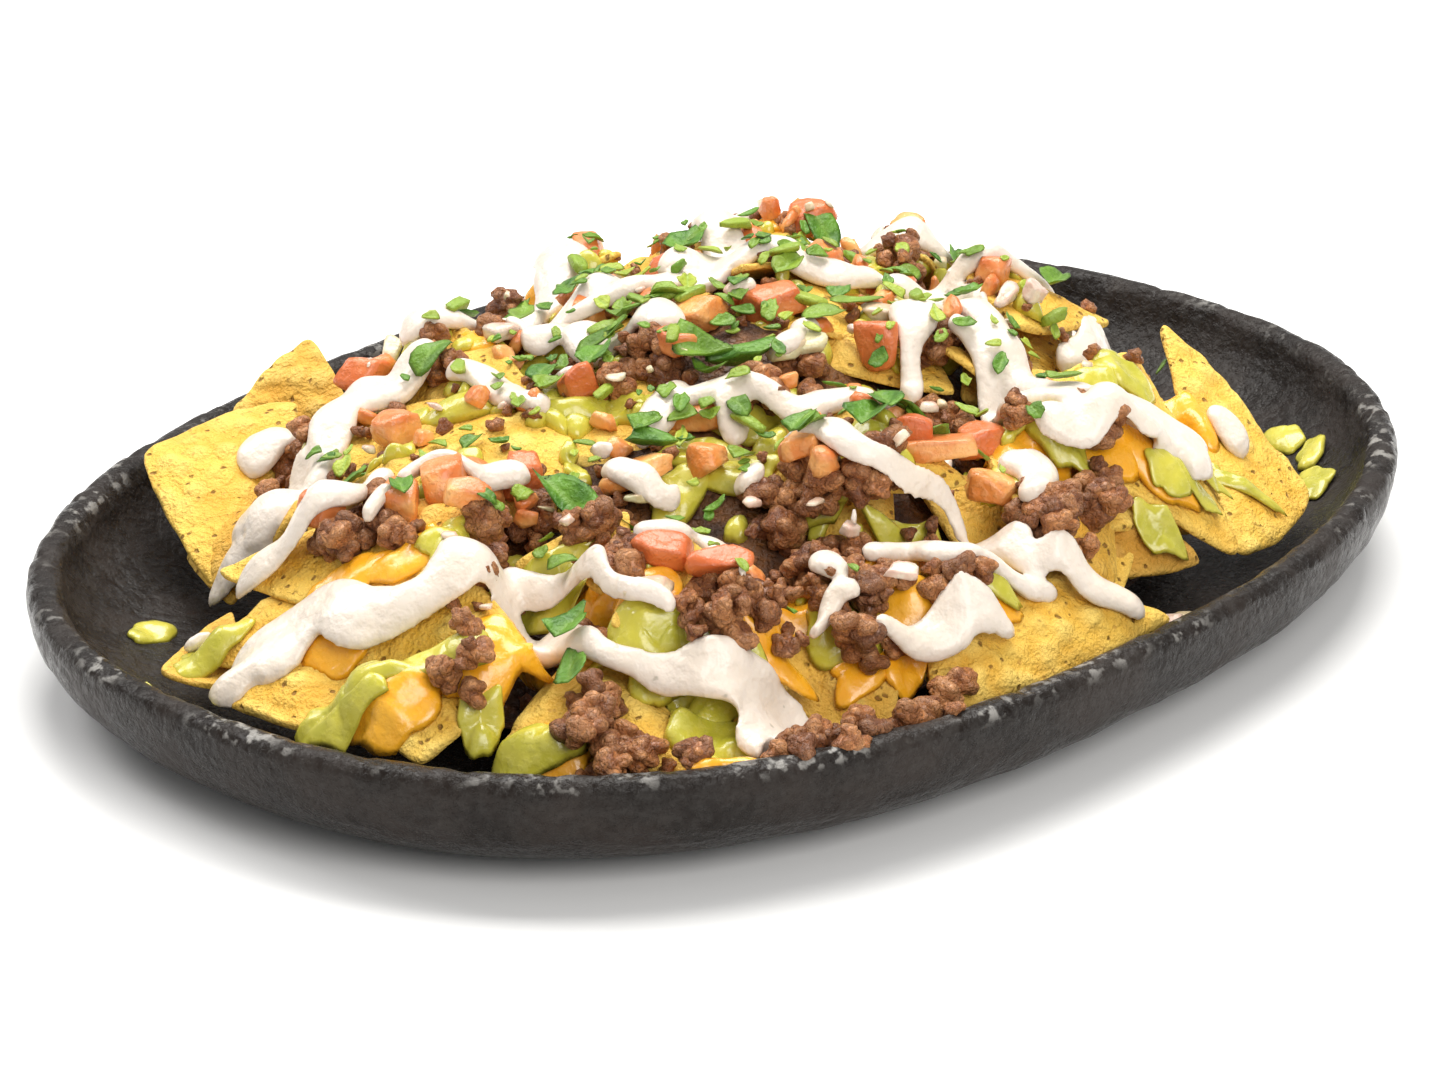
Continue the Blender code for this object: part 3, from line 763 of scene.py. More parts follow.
def dish_skins(chosen):
    """The section carried round the oval |x/a|^n + |y/b|^n = 1, then beaten: each point moves along its
    normal by pebbles and waves, more on the walls than on the foot, and the lip is chipped."""
    half = (DISH_BOX[1] - DISH_BOX[0])[:2] / 2
    section = dish_section()
    turn = round_way(DISH_SEGMENTS)
    cos, sin = np.cos(turn), np.sin(turn)
    round_x = np.sign(cos) * np.abs(cos) ** (2 / DISH_POWER)
    round_y = np.sign(sin) * np.abs(sin) ** (2 / DISH_POWER)
    inset, height = section[:, :1], section[:, 1:]
    skin = np.stack([(half[0] - inset) * round_x, (half[1] - inset) * round_y, height + 0 * round_x], axis=-1)
    along = np.roll(skin, -1, axis=1) - np.roll(skin, 1, axis=1)
    normal = np.cross(np.gradient(skin, axis=0), along)
    normal /= np.linalg.norm(normal, axis=-1, keepdims=True) + 1e-12
    outwards = np.where((skin * normal).sum(axis=-1, keepdims=True).mean() > 0, 1, -1)
    wall = ease(height, 1 * MM, 6 * MM)[:, :, None]
    lip = ease(height, DISH_WALL * MM, LIP_WORN_AND_GLINTING * MM) * np.ones((1, DISH_SEGMENTS))
    dents = (0.5 - pebbles(skin * (1, 1, 2.6), 9 * MM, 3))[..., None] * 0.55
    beaten = dents + waves(skin, 16 * MM, 5)[..., None] * 0.4
    ridges = waves(skin * (0.3, 0.3, 3.0), 2.2 * MM, 8)[..., None] * 0.18
    chips = -ease(waves(skin, 3.2 * MM, 12), 0.1, 0.7)[..., None] * lip[..., None] * 0.5
    outer = (np.arange(len(section)) < len(section) - INNER_RINGS)[:, None, None]
    move = (beaten + ridges * outer) * wall * chosen.texture + chips
    move = np.where(height[:, :, None] > LIP_KEPT * MM, np.minimum(move, 0.1), move)
    skin = skin + normal * move * MM * outwards
    skin[..., :2] = np.clip(skin[..., :2], DISH_BOX[0, :2], DISH_BOX[1, :2])
    skin[..., 2] = np.maximum(skin[..., 2], 0)
    skins = Skins()
    points = capped((0, 0, 0), skin, (0, 0, section[-1, 1]))
    skins.add(points, len(section), DISH_SEGMENTS, lip=capped(0, lip, 0))
    return skins


def bed_skins():
    """The heap's even surface sunk by a depth that swells in waves and pebbles, out to a share of its
    outline, over a low underside; the two meet at the rim."""
    rings, segments = 60, 150
    ray = circle(segments)[1][..., :2]
    reach = MM / heap_share(*(np.moveaxis(HEAP_PEAK[:2] + ray * MM, -1, 0)))
    s = (np.arange(1, rings + 1) / rings)[:, None]
    flat = HEAP_PEAK[:2] + ray * (reach * s * BED_SHARE)[..., None]
    spot = np.concatenate([flat, 0 * flat[..., :1]], axis=-1)
    sunk = BED_DEPTH + 3 * MM * waves(spot, 17 * MM, 71) + 2.5 * MM * (pebbles(spot, 14 * MM, 72) - 0.4) \
        + waves(spot, 3 * MM, 73) * 0.5 * MM
    low = HEAP_BOX[0, 2] + 1.5 * MM + 6 * MM * ease(s, 0.75, 1.0)
    top = np.maximum(heap_height(s * BED_SHARE) - sunk - 9 * MM * ease(s, 0.8, 1.0), low + 0.5 * MM)
    skin = faced(np.concatenate([flat, top[..., None]], axis=-1),
                 np.concatenate([flat, (low + 0 * top)[..., None]], axis=-1))
    skins = Skins()
    skins.add(capped(skin[0].mean(axis=0), skin, skin[-1].mean(axis=0)), 2 * rings - 1, segments)
    return skins


# ---------------------------------------------------------------- chips


def mesh_points(mesh, what="co"):
    """The points of a mesh, or their normals, as an array."""
    values = np.empty(len(mesh.vertices) * 3)
    mesh.vertices.foreach_get(what, values)
    return values.reshape(-1, 3)


def chip_corners(name):
    """Three corners and the bow of a chip of the model: its points' best plane, the widest triangle among
    them, and how far its middle stands above that plane's edge."""
    points = mesh_points(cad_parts[name].data)
    middle = points.mean(axis=0)
    axes = np.linalg.svd(points - middle, full_matrices=False)[2]
    axes[2] *= np.sign(axes[2, 2]) or 1
    flat = (points - middle) @ axes[:2].T
    angle = round_way(48)
    outer = np.unique((flat @ np.stack([np.cos(angle), np.sin(angle)])).argmax(axis=0))
    i, j, k = (index.ravel() for index in np.meshgrid(outer, outer, outer))
    first, second = flat[j] - flat[i], flat[k] - flat[i]
    best = np.abs(first[:, 0] * second[:, 1] - first[:, 1] * second[:, 0]).argmax()
    rise = (points - middle) @ axes[2]
    away = np.linalg.norm(flat, axis=1)
    bow = rise[away < away.max() * 0.45].mean() - rise[away > away.max() * 0.7].mean()
    return points[[i[best], j[best], k[best]]], float(np.clip(bow, 0, 7 * MM))


def chip_outline(corners, middle, segments):
    """Points all round a chip's edge, and the way from its middle to each: a triangle with its sides bulged
    and its corners worn round by a running mean, the ways grown back to its first size."""
    share = np.linspace(0, 3, segments * 4, endpoint=False)
    corner, part = share.astype(int), share % 1
    start, end = corners[corner], corners[(corner + 1) % 3]
    edge = start + (end - start) * part[:, None]
    edge = middle + (edge - middle) * (1 + 0.16 * np.sin(math.pi * part) ** 1.3)[:, None]
    reach = int(segments * 4 * 0.028)
    for _ in range(2):
        edge = np.mean([np.roll(edge, step, axis=0) for step in range(-reach, reach + 1)], axis=0)
    grow = np.linalg.norm(corners - middle, axis=1).mean() / np.mean(
        [np.linalg.norm(edge[int(k * len(edge) / 3)] - middle) for k in range(3)])
    return edge[::4], (edge[::4] - middle) * grow


def chip_skin(corners, bow, rng, rings, segments):
    """A chip as a function of s, from middle to edge, and the way round: over its outline the skin bows by
    1 - s squared, warps in slow waves, swells in blisters, and its two faces meet where s is 1. Gives its
    points, its number of rings and its marks."""
    corners = np.asarray(corners, dtype=float)
    middle = corners.mean(axis=0)
    normal = unit(np.cross(corners[1] - corners[0], corners[2] - corners[0]))
    normal *= np.sign(normal[2]) or 1
    edge, away = chip_outline(corners, middle, segments)
    seed = int(rng.integers(1000))
    ragged = waves(edge, 7 * MM, seed) * 0.022 + waves(edge, 2.4 * MM, seed + 1) * 0.009
    away = away * (1 + ragged)[:, None]
    inner = 0.965 * (np.arange(1, rings - 2) / (rings - 3)) ** 0.75
    s = np.concatenate([inner, [0.985, 0.996, 1.0]])[:, None]
    upper = middle + s[:, :, None] * away[None]
    size = np.linalg.norm(away, axis=1).mean()
    warp = waves(upper, 0.9 * size, seed + 2) * 0.05 * size + waves(upper, 11 * MM, seed + 3) * 0.55 * MM
    blister = ease(0.6 - pebbles(upper, 6.5 * MM, seed + 4), 0, 0.4)
    blister = blister * ease(waves(upper, 12 * MM, seed + 7), -0.35, 0.3)
    rough = waves(upper, 2.0 * MM, seed + 5) * 0.22 * MM + waves(upper, 4.2 * MM, seed + 6) * 0.36 * MM
    curl = s ** 3 * waves(upper, 15 * MM, seed + 8) * 0.9 * MM
    rise = bow * (1 - s ** 2) - bow * 0.35 + warp + curl
    half = CHIP_THICKNESS / 2 * np.sqrt(np.clip(1 - s ** 60, 0, 1))
    top = upper + (rise + half + blister * 0.9 * MM + rough * (s < 1))[..., None] * normal
    under = upper + (rise - half)[..., None] * normal
    first = middle + (rise[0].mean() + half[0, 0]) * normal
    last = middle + (rise[0].mean() - half[0, 0]) * normal
    out = s * np.ones(segments)
    marks = {"blister": capped(0, faced(blister, 0 * blister), 0), "edge": capped(0, faced(out, out), 0) ** 8}
    return capped(first, faced(top, under), last), 2 * rings - 1, marks


# Whole chips that lie among the others: three corners in millimetres, and how much painted shade darkens
# each.
INNER_CHIPS = (
    ((-74, 92, 16), (-97, 60, 17), (-86, 40, 38), 0.4),
    ((-88, -40, 44), (-76, -76, 35), (-66, -50, 48), 0.0),
    ((-88, -20, 42), (-82, -42, 33), (-70, -34, 52), 0.1),
    ((-40, -70, 42), (-44, -99, 19), (-20, -90, 38), 0.25),
    ((-102, -74, 21), (-84, -92, 16), (-84, -76, 27), 0.1),
    ((28, -70, 46), (40, -96, 24), (16, -86, 26), 0.75),
    ((26, -60, 50), (60, -82, 26), (44, -72, 24), 0.8),
    ((-30, -60, 52), (-8, -72, 50), (-16, -50, 62), 0.05),
    ((-96, 30, 36), (-86, 0, 48), (-74, 26, 50), 0.2),
    ((48, -40, 60), (84, -36, 50), (60, -14, 64), 0.1),
    ((30, -80, 40), (6, -98, 22), (-4, -84, 42), 0.3),
    ((-72, 38, 36), (-36, 76, 34), (-30, 36, 52), 0.3),
    ((-131, 27, 21), (-121, -12, 30), (-104, 14, 40), 0.0),
    ((-123, -4, 28), (-108, -42, 36), (-99, -8, 46), 0.0),
    ((18, 60, 53), (38, 32, 62), (72, 40, 58), 0.15),
)


def pile_chips(rng, count, low, high, lift):
    """Corners of chips laid on the heap's even surface at random places between two shares of the way out:
    each lies along the slope, tipped a little at random."""
    placed = []
    angle = (np.arange(count) + rng.uniform(0.2, 0.8, count)) * 2 * math.pi / count * 3.0
    share = rng.uniform(low, high, count)
    for way, out in zip(angle, share):
        ray = np.array([math.cos(way), math.sin(way)])
        reach = 1 / heap_share(*(HEAP_PEAK[:2] + ray * 1.0 * MM)) * MM
        spot = HEAP_PEAK[:2] + ray * reach * out
        slope = (heap_height(out + 0.02) - heap_height(out - 0.02)) / (0.04 * reach)
        middle = np.array([*spot, heap_height(out) + lift])
        down = unit(np.array([*ray, slope]))
        across = np.array([-ray[1], ray[0], 0.0])
        tip = rng.normal(0, 0.15, 2)
        normal = np.cross(down, across)
        normal *= np.sign(normal[2])
        normal = unit(normal + tip[0] * down + tip[1] * across)
        across = unit(across - normal * (across @ normal))
        down = np.cross(normal, across)
        size = rng.uniform(24, 32) * MM
        turn = rng.uniform(0, 2 * math.pi) + np.array([0, 2.1, 4.2]) + rng.normal(0, 0.12, 3)
        placed.append(middle + size * (np.cos(turn)[:, None] * down + np.sin(turn)[:, None] * across))
    return placed


# ---------------------------------------------------------------- lumps, dice and leaves


def lobed(ways, rng, count, lobes, spread, low, high):
    """Distance from the middle to the skin of a bunch of balls: for each way out, the farthest point at which
    it leaves one of them; the balls sit at random places at about spread from the middle."""
    middles = rng.normal(size=(count, lobes, 3))
    away = spread * rng.uniform(0.75, 1.15, (count, lobes)) / np.linalg.norm(middles, axis=-1)
    middles *= away[..., None]
    radii = rng.uniform(low, high, (count, lobes))
    along = np.einsum("mi,nki->nmk", ways, middles)
    inside = radii[:, None] ** 2 - (middles ** 2).sum(axis=-1)[:, None] + along ** 2
    leave = np.where(inside > 0, along + np.sqrt(np.maximum(inside, 0)), 0)
    return np.maximum(leave.max(axis=-1), 0.55)


def cut(ways, rng, count):
    """Distance from the middle to the skin of a knife-cut piece: a ball with six flat cuts near the sides of
    a box and more at random slants; the nearest cut counts for each way out, its ridges a little rounded."""
    box = np.concatenate([np.eye(3), -np.eye(3)])[None] + rng.normal(0, 0.22, (count, 6, 3))
    normals = np.concatenate([box, rng.normal(size=(count, SLANT_CUTS, 3))], axis=1)
    normals /= np.linalg.norm(normals, axis=-1, keepdims=True)
    facing = np.maximum(np.einsum("mi,nki->nmk", ways, normals), 0.02)
    sides = rng.uniform(0.5, 0.66, (count, 6))
    slants = rng.uniform(0.66, 0.9, (count, SLANT_CUTS))
    leave = np.concatenate([sides, slants], axis=1)[:, None] / facing
    return (1 + (leave ** -22).sum(axis=-1)) ** (-1 / 22)


def settled(places, rise, shape, ways, *swells):
    """Shapes put down with their middles that far above the food, then moved outwards by waves: each swell
    is a size and a depth in millimetres, and a seed."""
    height = GROUND.height(places[:, 0], places[:, 1]) + rise
    points = np.column_stack([places, height])[:, None] + shape
    total = sum(waves(points, size * MM, seed) * depth for size, depth, seed in swells)
    return points + ways[None] * total[..., None] * MM


def crumbs(skins, rng, places, radii, rings, segments, lobes, shade):
    """Nodular crumbs of mince at those places: bunches of balls, roughened, sunk a little into the food."""
    count = len(places)
    ways = ball(rings, segments)
    reach = lobed(ways, rng, count, lobes, 0.63, 0.32, 0.5)
    shape = ways[None] * reach[..., None] * radii[:, None, None] * (1, 1, CRUMB_FLATNESS)
    shape = np.einsum("nij,nmj->nmi", turned(rng, count, 0.5), shape)
    rise = radii * CRUMB_FLATNESS * (1 - 2 * CRUMB_SINK)
    points = settled(places, rise, shape, ways, (1.7, 0.32, 31), (0.9, 0.16, 32))
    # The high mark is where painted highlights go: the bulges of the lobes.
    skins.add(points, rings, segments, high=ease(reach, 0.8, 1.08), shade=shade)


def dice(skins, rng, places, sizes, rings, segments, shade, sink=0.3, turns=None):
    """Knife-cut pieces of half sizes a, b, c, slightly bent, turned and laid on the food below, with a slow
    waviness; on most of them the side along the piece's own z is marked as skin."""
    count = len(places)
    ways = ball(rings, segments)
    shape = ways[None] * cut(ways, rng, count)[..., None] * sizes[:, None] * DICE_FULLNESS
    bend = 0.25 * (shape[..., 0] / sizes[:, None, 0]) ** 2 * sizes[:, None, 2]
    shape[..., 2] -= bend * rng.uniform(0, 1.5, (count, 1))
    turns = turned(rng, count, 0.9) if turns is None else turns
    shape = np.einsum("nij,nmj->nmi", turns, shape)
    rise = -shape[..., 2].min(axis=1) * (1 - 2 * sink)
    points = settled(places, rise, shape, ways, (5, 0.35, 41), (1.8, 0.16, 42))
    skin = np.repeat(ease(ways[:, 2], 0.35, 0.6)[None], count, axis=0)
    skins.add(points, rings, segments, skin=skin * (rng.uniform(0, 1, (count, 1)) < 0.6), shade=shade)


def table_dice(skins, rng, table, tone=1.0, rings=18, segments=30):
    """Cut pieces from a table of place, half sizes, turn and tone, each leaning a little at random."""
    table = np.array(table, dtype=float)
    lean = rng.normal(0, 0.2, (len(table), 2))
    turns = about(0, lean[:, 0]) @ about(1, lean[:, 1]) @ about(2, np.radians(table[:, 5]))
    dice(skins, rng, table[:, :2] * MM, table[:, 2:5] * MM, rings, segments, table[:, 6] * tone, 0.25, turns)


def leaves(skins, rng, places, lengths, widths, turns, shade, lift=1.2 * MM):
    """Leaf pieces: an oval outline drawn to a point and scalloped, folded along the rib, draped over the food
    and lifted at the edge. The upper and lower faces meet at the outline."""
    rings, segments = 5, 18
    s = (np.arange(1, rings + 1) / rings)[:, None]
    way, ring = circle(segments)
    for place, length, width, turn, tone in zip(places, lengths, widths, turns, shade):
        rim = 1 + 0.3 * waves(ring * 1.8 + rng.uniform(0, 90, 3), 1.0, 52) + 0.06 * np.abs(np.sin(3.5 * way))
        x = s * rim * np.cos(way) * length / 2 * (1 + 0.12 * np.cos(way))
        y = s * rim * np.sin(way) * width / 2 * (1 - 0.35 * np.cos(way))
        px, py = laid(*place, x, y, turn)
        own = GROUND.height(place[0], place[1], 2)
        base = 0.55 * GROUND.height(px, py, 2) + 0.45 * own
        fold = np.abs(y) * rng.uniform(0.25, 0.75) + x * rng.uniform(-0.25, 0.25) \
            + (x / length) ** 2 * rng.uniform(-0.3, 0.5) * length
        top = base + lift + fold + waves(np.stack([px, py, 0 * px], axis=-1), 3 * MM, 51) * 0.3 * MM
        half = LEAF_HALF_THICKNESS * np.sqrt(np.clip(1 - s ** 6, 0, 1))
        skin = faced(np.stack([px, py, top + half], axis=-1), np.stack([px, py, top - half], axis=-1))
        middle = np.array([place[0], place[1], float(top[0].mean())])
        above = np.array([0, 0, LEAF_HALF_THICKNESS])
        vein = np.exp(-(np.abs(y) / (0.09 * width)) ** 2)
        skins.add(capped(middle + above, skin, middle - above), 2 * rings - 1, segments,
                  vein=capped(1, faced(vein, vein), 1), shade=np.full(1, tone))


def scattered(rng, count, low, high):
    """Random places on the heap between two shares of the way out, off the bare discs."""
    places = np.empty((0, 2))
    while len(places) < count:
        spot = HEAP_CENTRE + rng.uniform(-1, 1, (count * 3, 2)) * HEAP_REACH
        share = heap_share(spot[:, 0], spot[:, 1])
        keep = (share > low) & (share < high)
        for x, y, radius in BARE:
            keep &= np.hypot(spot[:, 0] - x * MM, spot[:, 1] - y * MM) > radius * MM
        places = np.concatenate([places, spot[keep]])
    return places[:count]


# ---------------------------------------------------------------- covers and ribbons


def cover_skins(skins, rng, covers, lumps=1.0, rings=11, segments=40):
    """Melted or mashed covers: an uneven oval of s and the way round, whose height over the food is about
    thickness times (1 - s^3)^0.6; the underside keeps a little under the food, and the two meet at the
    rim. The food's steep steps are cut down to a slope."""
    s = (np.arange(1, rings + 1) / rings)[:, None] ** 0.8
    way, ring = circle(segments)
    for x, y, across, deep, turn, thick in covers:
        rim = 1 + 0.26 * waves(ring * 1.5 + rng.uniform(0, 90, 3), 1.0, 61) + 0.09 * waves(
            ring * 3.5 + rng.uniform(0, 90, 3), 1.0, 62)
        u, v = s * rim * np.cos(way) * across * MM, s * rim * np.sin(way) * deep * MM
        px, py = laid(x * MM, y * MM, u, v, math.radians(turn))
        near = GROUND.height(px, py)
        level, away = near[:rings // 2].mean(), np.hypot(u, v)
        near = np.clip(near, level - 0.9 * away - 1 * MM, level + 1.1 * away + 1 * MM)
        spot = np.stack([px, py, near], axis=-1)
        swell = thick * MM * ((1 - s ** 3) ** 0.6 * (0.95 + 0.75 * waves(spot, 6 * MM, 63)) - 0.12) \
            + (waves(spot, 3.0 * MM, 64) * 0.4 + waves(spot, 1.2 * MM, 65) * 0.06) * MM * lumps * (1 - s ** 4)
        upper = np.stack([px, py, near + swell - 0.35 * MM * s ** 6], axis=-1)
        lower = np.stack([px, py, near - 1.2 * MM * (1 - s ** 4) - 0.35 * MM * s ** 6], axis=-1)
        points = capped(upper[0].mean(axis=0), faced(upper, lower), lower[0].mean(axis=0))
        thin = capped(0, faced(s ** 5 * np.ones(segments), np.ones((rings, segments))), 1)
        skins.add(points, 2 * rings - 1, segments, thin=thin)


def walked(points, step):
    """The path through the points as a smooth curve, by blending four neighbours, walked at even steps."""
    points = np.asarray(points, dtype=float)
    padded = np.concatenate([[2 * points[0] - points[1]], points, [2 * points[-1] - points[-2]]])
    t = np.linspace(0, 1, 12, endpoint=False)[:, None]
    spans = [0.5 * (2 * b + (c - a) * t + (2 * a - 5 * b + 4 * c - d) * t ** 2
                    + (3 * b - a - 3 * c + d) * t ** 3)
             for a, b, c, d in zip(padded[:-3], padded[1:-2], padded[2:-1], padded[3:])]
    line = np.concatenate([*spans, points[-1:]])
    length = walked_length(line[:, :2])
    walk = np.linspace(0, length[-1], max(8, int(length[-1] / step)))
    return np.stack([np.interp(walk, length, line[:, axis]) for axis in range(line.shape[1])], axis=1)


def ribbon_skin(skins, rng, path):
    """A ribbon of cream: an oval section carried along the path (x, y, width over the food in mm), flat below
    and domed above, hugging the food under it, with rounded ends, a swelling width and a slow wander."""
    line = walked(path, 0.8) * MM
    lane = np.column_stack([line[:, :2], 0 * line[:, 2]])
    line[:, 0] += waves(lane, 6 * MM, 91) * 0.8 * MM
    line[:, 1] += waves(lane, 6 * MM, 92) * 0.8 * MM
    centre, width = line[:, :2], line[:, 2] * 1.22
    seed = int(rng.integers(1000))
    width = width * (1 + 0.3 * waves(np.column_stack([centre, 0 * width]), 7 * MM, seed))
    along = np.gradient(centre, axis=0)
    along /= np.linalg.norm(along, axis=1, keepdims=True) + 1e-9
    side = np.stack([-along[:, 1], along[:, 0]], axis=1)
    length = walked_length(centre)
    end = np.minimum(length, length[-1] - length)
    cap = np.sqrt(np.clip(1 - (1 - np.clip(end / (width * 0.5), 0, 1)) ** 2, 0, 1))
    cap = np.maximum(cap, 0.05)
    edges = [GROUND.height(*(centre + side * (way * width / 2)[:, None]).T, 2) for way in (1, -1)]
    slope = running_mean((edges[0] - edges[1]) / width, 4)
    half = width / 2 * cap / np.sqrt(1 + np.clip(slope, -1.6, 1.6) ** 2)
    tall = np.minimum((0.2 * width + 1.3 * MM) * cap, CREAM_HIGHEST)
    way = round_way(RIBBON_SEGMENTS)[None]
    across, up = np.cos(way), np.sin(way)
    spot = centre[:, None] + side[:, None] * (half[:, None] * across)[..., None]
    run = GROUND.height(centre[:, 0], centre[:, 1], 2)
    for _ in range(3):
        run = running_mean(run, 2)
    near = GROUND.height(spot[..., 0], spot[..., 1], 2)
    base = np.clip(0.5 * run[:, None] + 0.5 * near, run[:, None] - 4 * MM, run[:, None] + 3 * MM)
    rise = np.where(up > 0, np.abs(up) ** 0.8 * tall[:, None], up * 1.6 * MM)
    skin = np.stack([spot[..., 0], spot[..., 1], base + rise - 0.2 * MM], axis=-1)
    skins.add(capped(skin[0].mean(axis=0), skin, skin[-1].mean(axis=0)), len(centre), RIBBON_SEGMENTS)


def fused(skins, name, voxel, rounds):
    """Melts overlapping skins into one: a voxel remesh, then rounds in which each point moves half way to
    the mean of its neighbours."""
    lump = linked(name + "_parts", skins.mesh(name + "_parts"))
    remesh = lump.modifiers.new("fuse", "REMESH")
    remesh.mode, remesh.voxel_size, remesh.use_smooth_shade = "VOXEL", voxel, True
    soften = lump.modifiers.new("soften", "SMOOTH")
    soften.iterations, soften.factor = rounds, 0.5
    bpy.context.view_layer.update()
    mesh = bpy.data.meshes.new_from_object(lump.evaluated_get(bpy.context.evaluated_depsgraph_get()))
    bpy.data.objects.remove(lump)
    if not len(mesh.polygons):
        raise RuntimeError(f"{name} came out empty")
    mesh.shade_smooth()
    return mesh


# ---------------------------------------------------------------- where things lie (millimetres)

# Covers: x, y, half length, half width, turn in degrees, thickness.
CHEESE = (
    (-131, -29, 9, 8, -48, 3.8), (-122, -4, 7, 6, -30, 2.4), (-113, -38, 13, 8, -20, 3.2),
    (-89, -22, 6, 4, -50, 2.4), (-88, -41, 8, 6, -50, 2.4), (-87, -56, 7, 6, -50, 2.2),
    (-75, -42, 7, 5, 0, 3.0), (-54, -67, 12, 8, -50, 4.2), (-40, -71, 8, 10, -50, 2.8),
    (-42, -83, 9, 8, -50, 2.2), (-18, -73, 9, 5, -50, 2.2), (15, -70, 10, 9, -45, 3.4),
    (30, -78, 9, 6, -30, 3.0), (38, -83, 10, 5, -50, 2.4), (-24, 47, 10, 7, -50, 4.5),
    (-84, -67, 15, 6, -58, 2.2), (-74, -74, 10, 6, -50, 2.0), (74, -66, 6, 9, -20, 2.0),
    (-47, -87, 7, 6, 0, 1.8), (-56, -84, 7, 5, 0, 1.8), (-92, -14, 10, 5, -50, 2.0),
    (-105, -10, 11, 5, -50, 2.0), (-112, 2, 9, 4, -50, 1.6), (-26, -91, 8, 4, -50, 1.5),
    (-117, -59, 9, 6, -50, 1.5), (-104, -88, 8, 5, -50, 1.5), (16, 66, 11, 8, 20, 2.0),
    (66, 46, 10, 8, 70, 2.0), (-20, 72, 12, 8, 10, 2.4), (84, 14, 12, 8, 80, 2.4), (50, 66, 10, 8, 0, 2.6),
    (96, -14, 9, 8, 60, 2.2), (-62, 66, 10, 7, 40, 2.4),
)
GUACAMOLE = (
    (-127, -26, 13, 6, -45, 3.2), (-137, -19, 10, 4, -75, 2.4), (-119, -34, 7, 5, -50, 2.4),
    (-104, -18, 4, 4, 0, 3.0), (-123, -44, 5, 4, -40, 1.8), (-129, 26, 8, 5, -40, 2.2),
    (-120, -57, 10, 5, -40, 2.6), (-95, -14, 6, 4, -50, 2.2), (-102, -14, 6, 4, -50, 2.0),
    (-86, -31, 10, 6, -50, 1.8), (-93, -59, 11, 4, -50, 1.6), (-85, -68, 12, 4, -55, 1.8),
    (-93, -64, 6, 6, -40, 2.8), (-89, -72, 9, 7, -50, 3.4), (-96, -80, 9, 7, -50, 3.8),
    (-90, -85, 8, 6, -50, 3.0), (-37, -60, 9, 4, -50, 2.2), (-23, -70, 10, 5, -50, 2.0),
    (-52, -77, 8, 8, -40, 3.2), (-30, -53, 11, 5, -50, 2.6), (-36, -23, 9, 5, -50, 2.4),
    (-21, -26, 9, 5, -50, 2.4), (-46, -27, 8, 5, 0, 2.2), (-35, -34, 9, 5, -50, 2.2),
    (-25, -55, 8, 7, 0, 2.4), (-23, 39, 5, 5, 0, 3.5), (-15, 34, 5, 6, 0, 4.0), (-34, -1, 5, 6, 0, 3.0),
    (-49, 26, 13, 5, -50, 3.0), (-40, 8, 9, 6, -50, 3.0), (-39, 18, 7, 5, 0, 2.2), (42, -10, 9, 6, 0, 3.0),
    (36, -32, 6, 4, 0, 2.2), (17, -65, 8, 4, -50, 2.0), (31, -67, 8, 4, -50, 2.2),
    (80, -52, 8, 4, -50, 2.0), (53, -65, 7, 6, -50, 2.4), (44, -64, 6, 4, -20, 2.0),
    (20, -73, 5, 8, 0, 2.0), (32, -91, 6, 3, -50, 1.2), (22, -98, 6, 3, -50, 1.2),
    (54, -85, 6, 3, -50, 1.2), (39, -87, 5, 4, 0, 1.1), (-25, -89, 9, 3, -50, 1.6),
    (-23, -58, 7, 6, 0, 2.2), (-11, -26, 8, 7, 0, 2.2), (68, -83, 12, 2, -50, 1.2),
    (46, -90, 6, 3, -50, 1.1), (64, -76, 6, 3, -50, 1.0), (10, 40, 14, 10, 20, 3.0),
    (56, 20, 12, 10, 60, 3.0), (-40, 60, 12, 9, 0, 2.6), (80, -14, 9, 6, 30, 2.4), (34, 74, 12, 8, 0, 2.4),
    (84, 34, 9, 9, 0, 2.4), (110, -74, 8, 4, 40, 1.6), (127, -53, 7, 4, 60, 1.6), (122, -64, 6, 3, 30, 1.4),
    (-112, 62, 7, 4, 20, 1.4), (-146, 18, 7, 3, -60, 1.6),
)
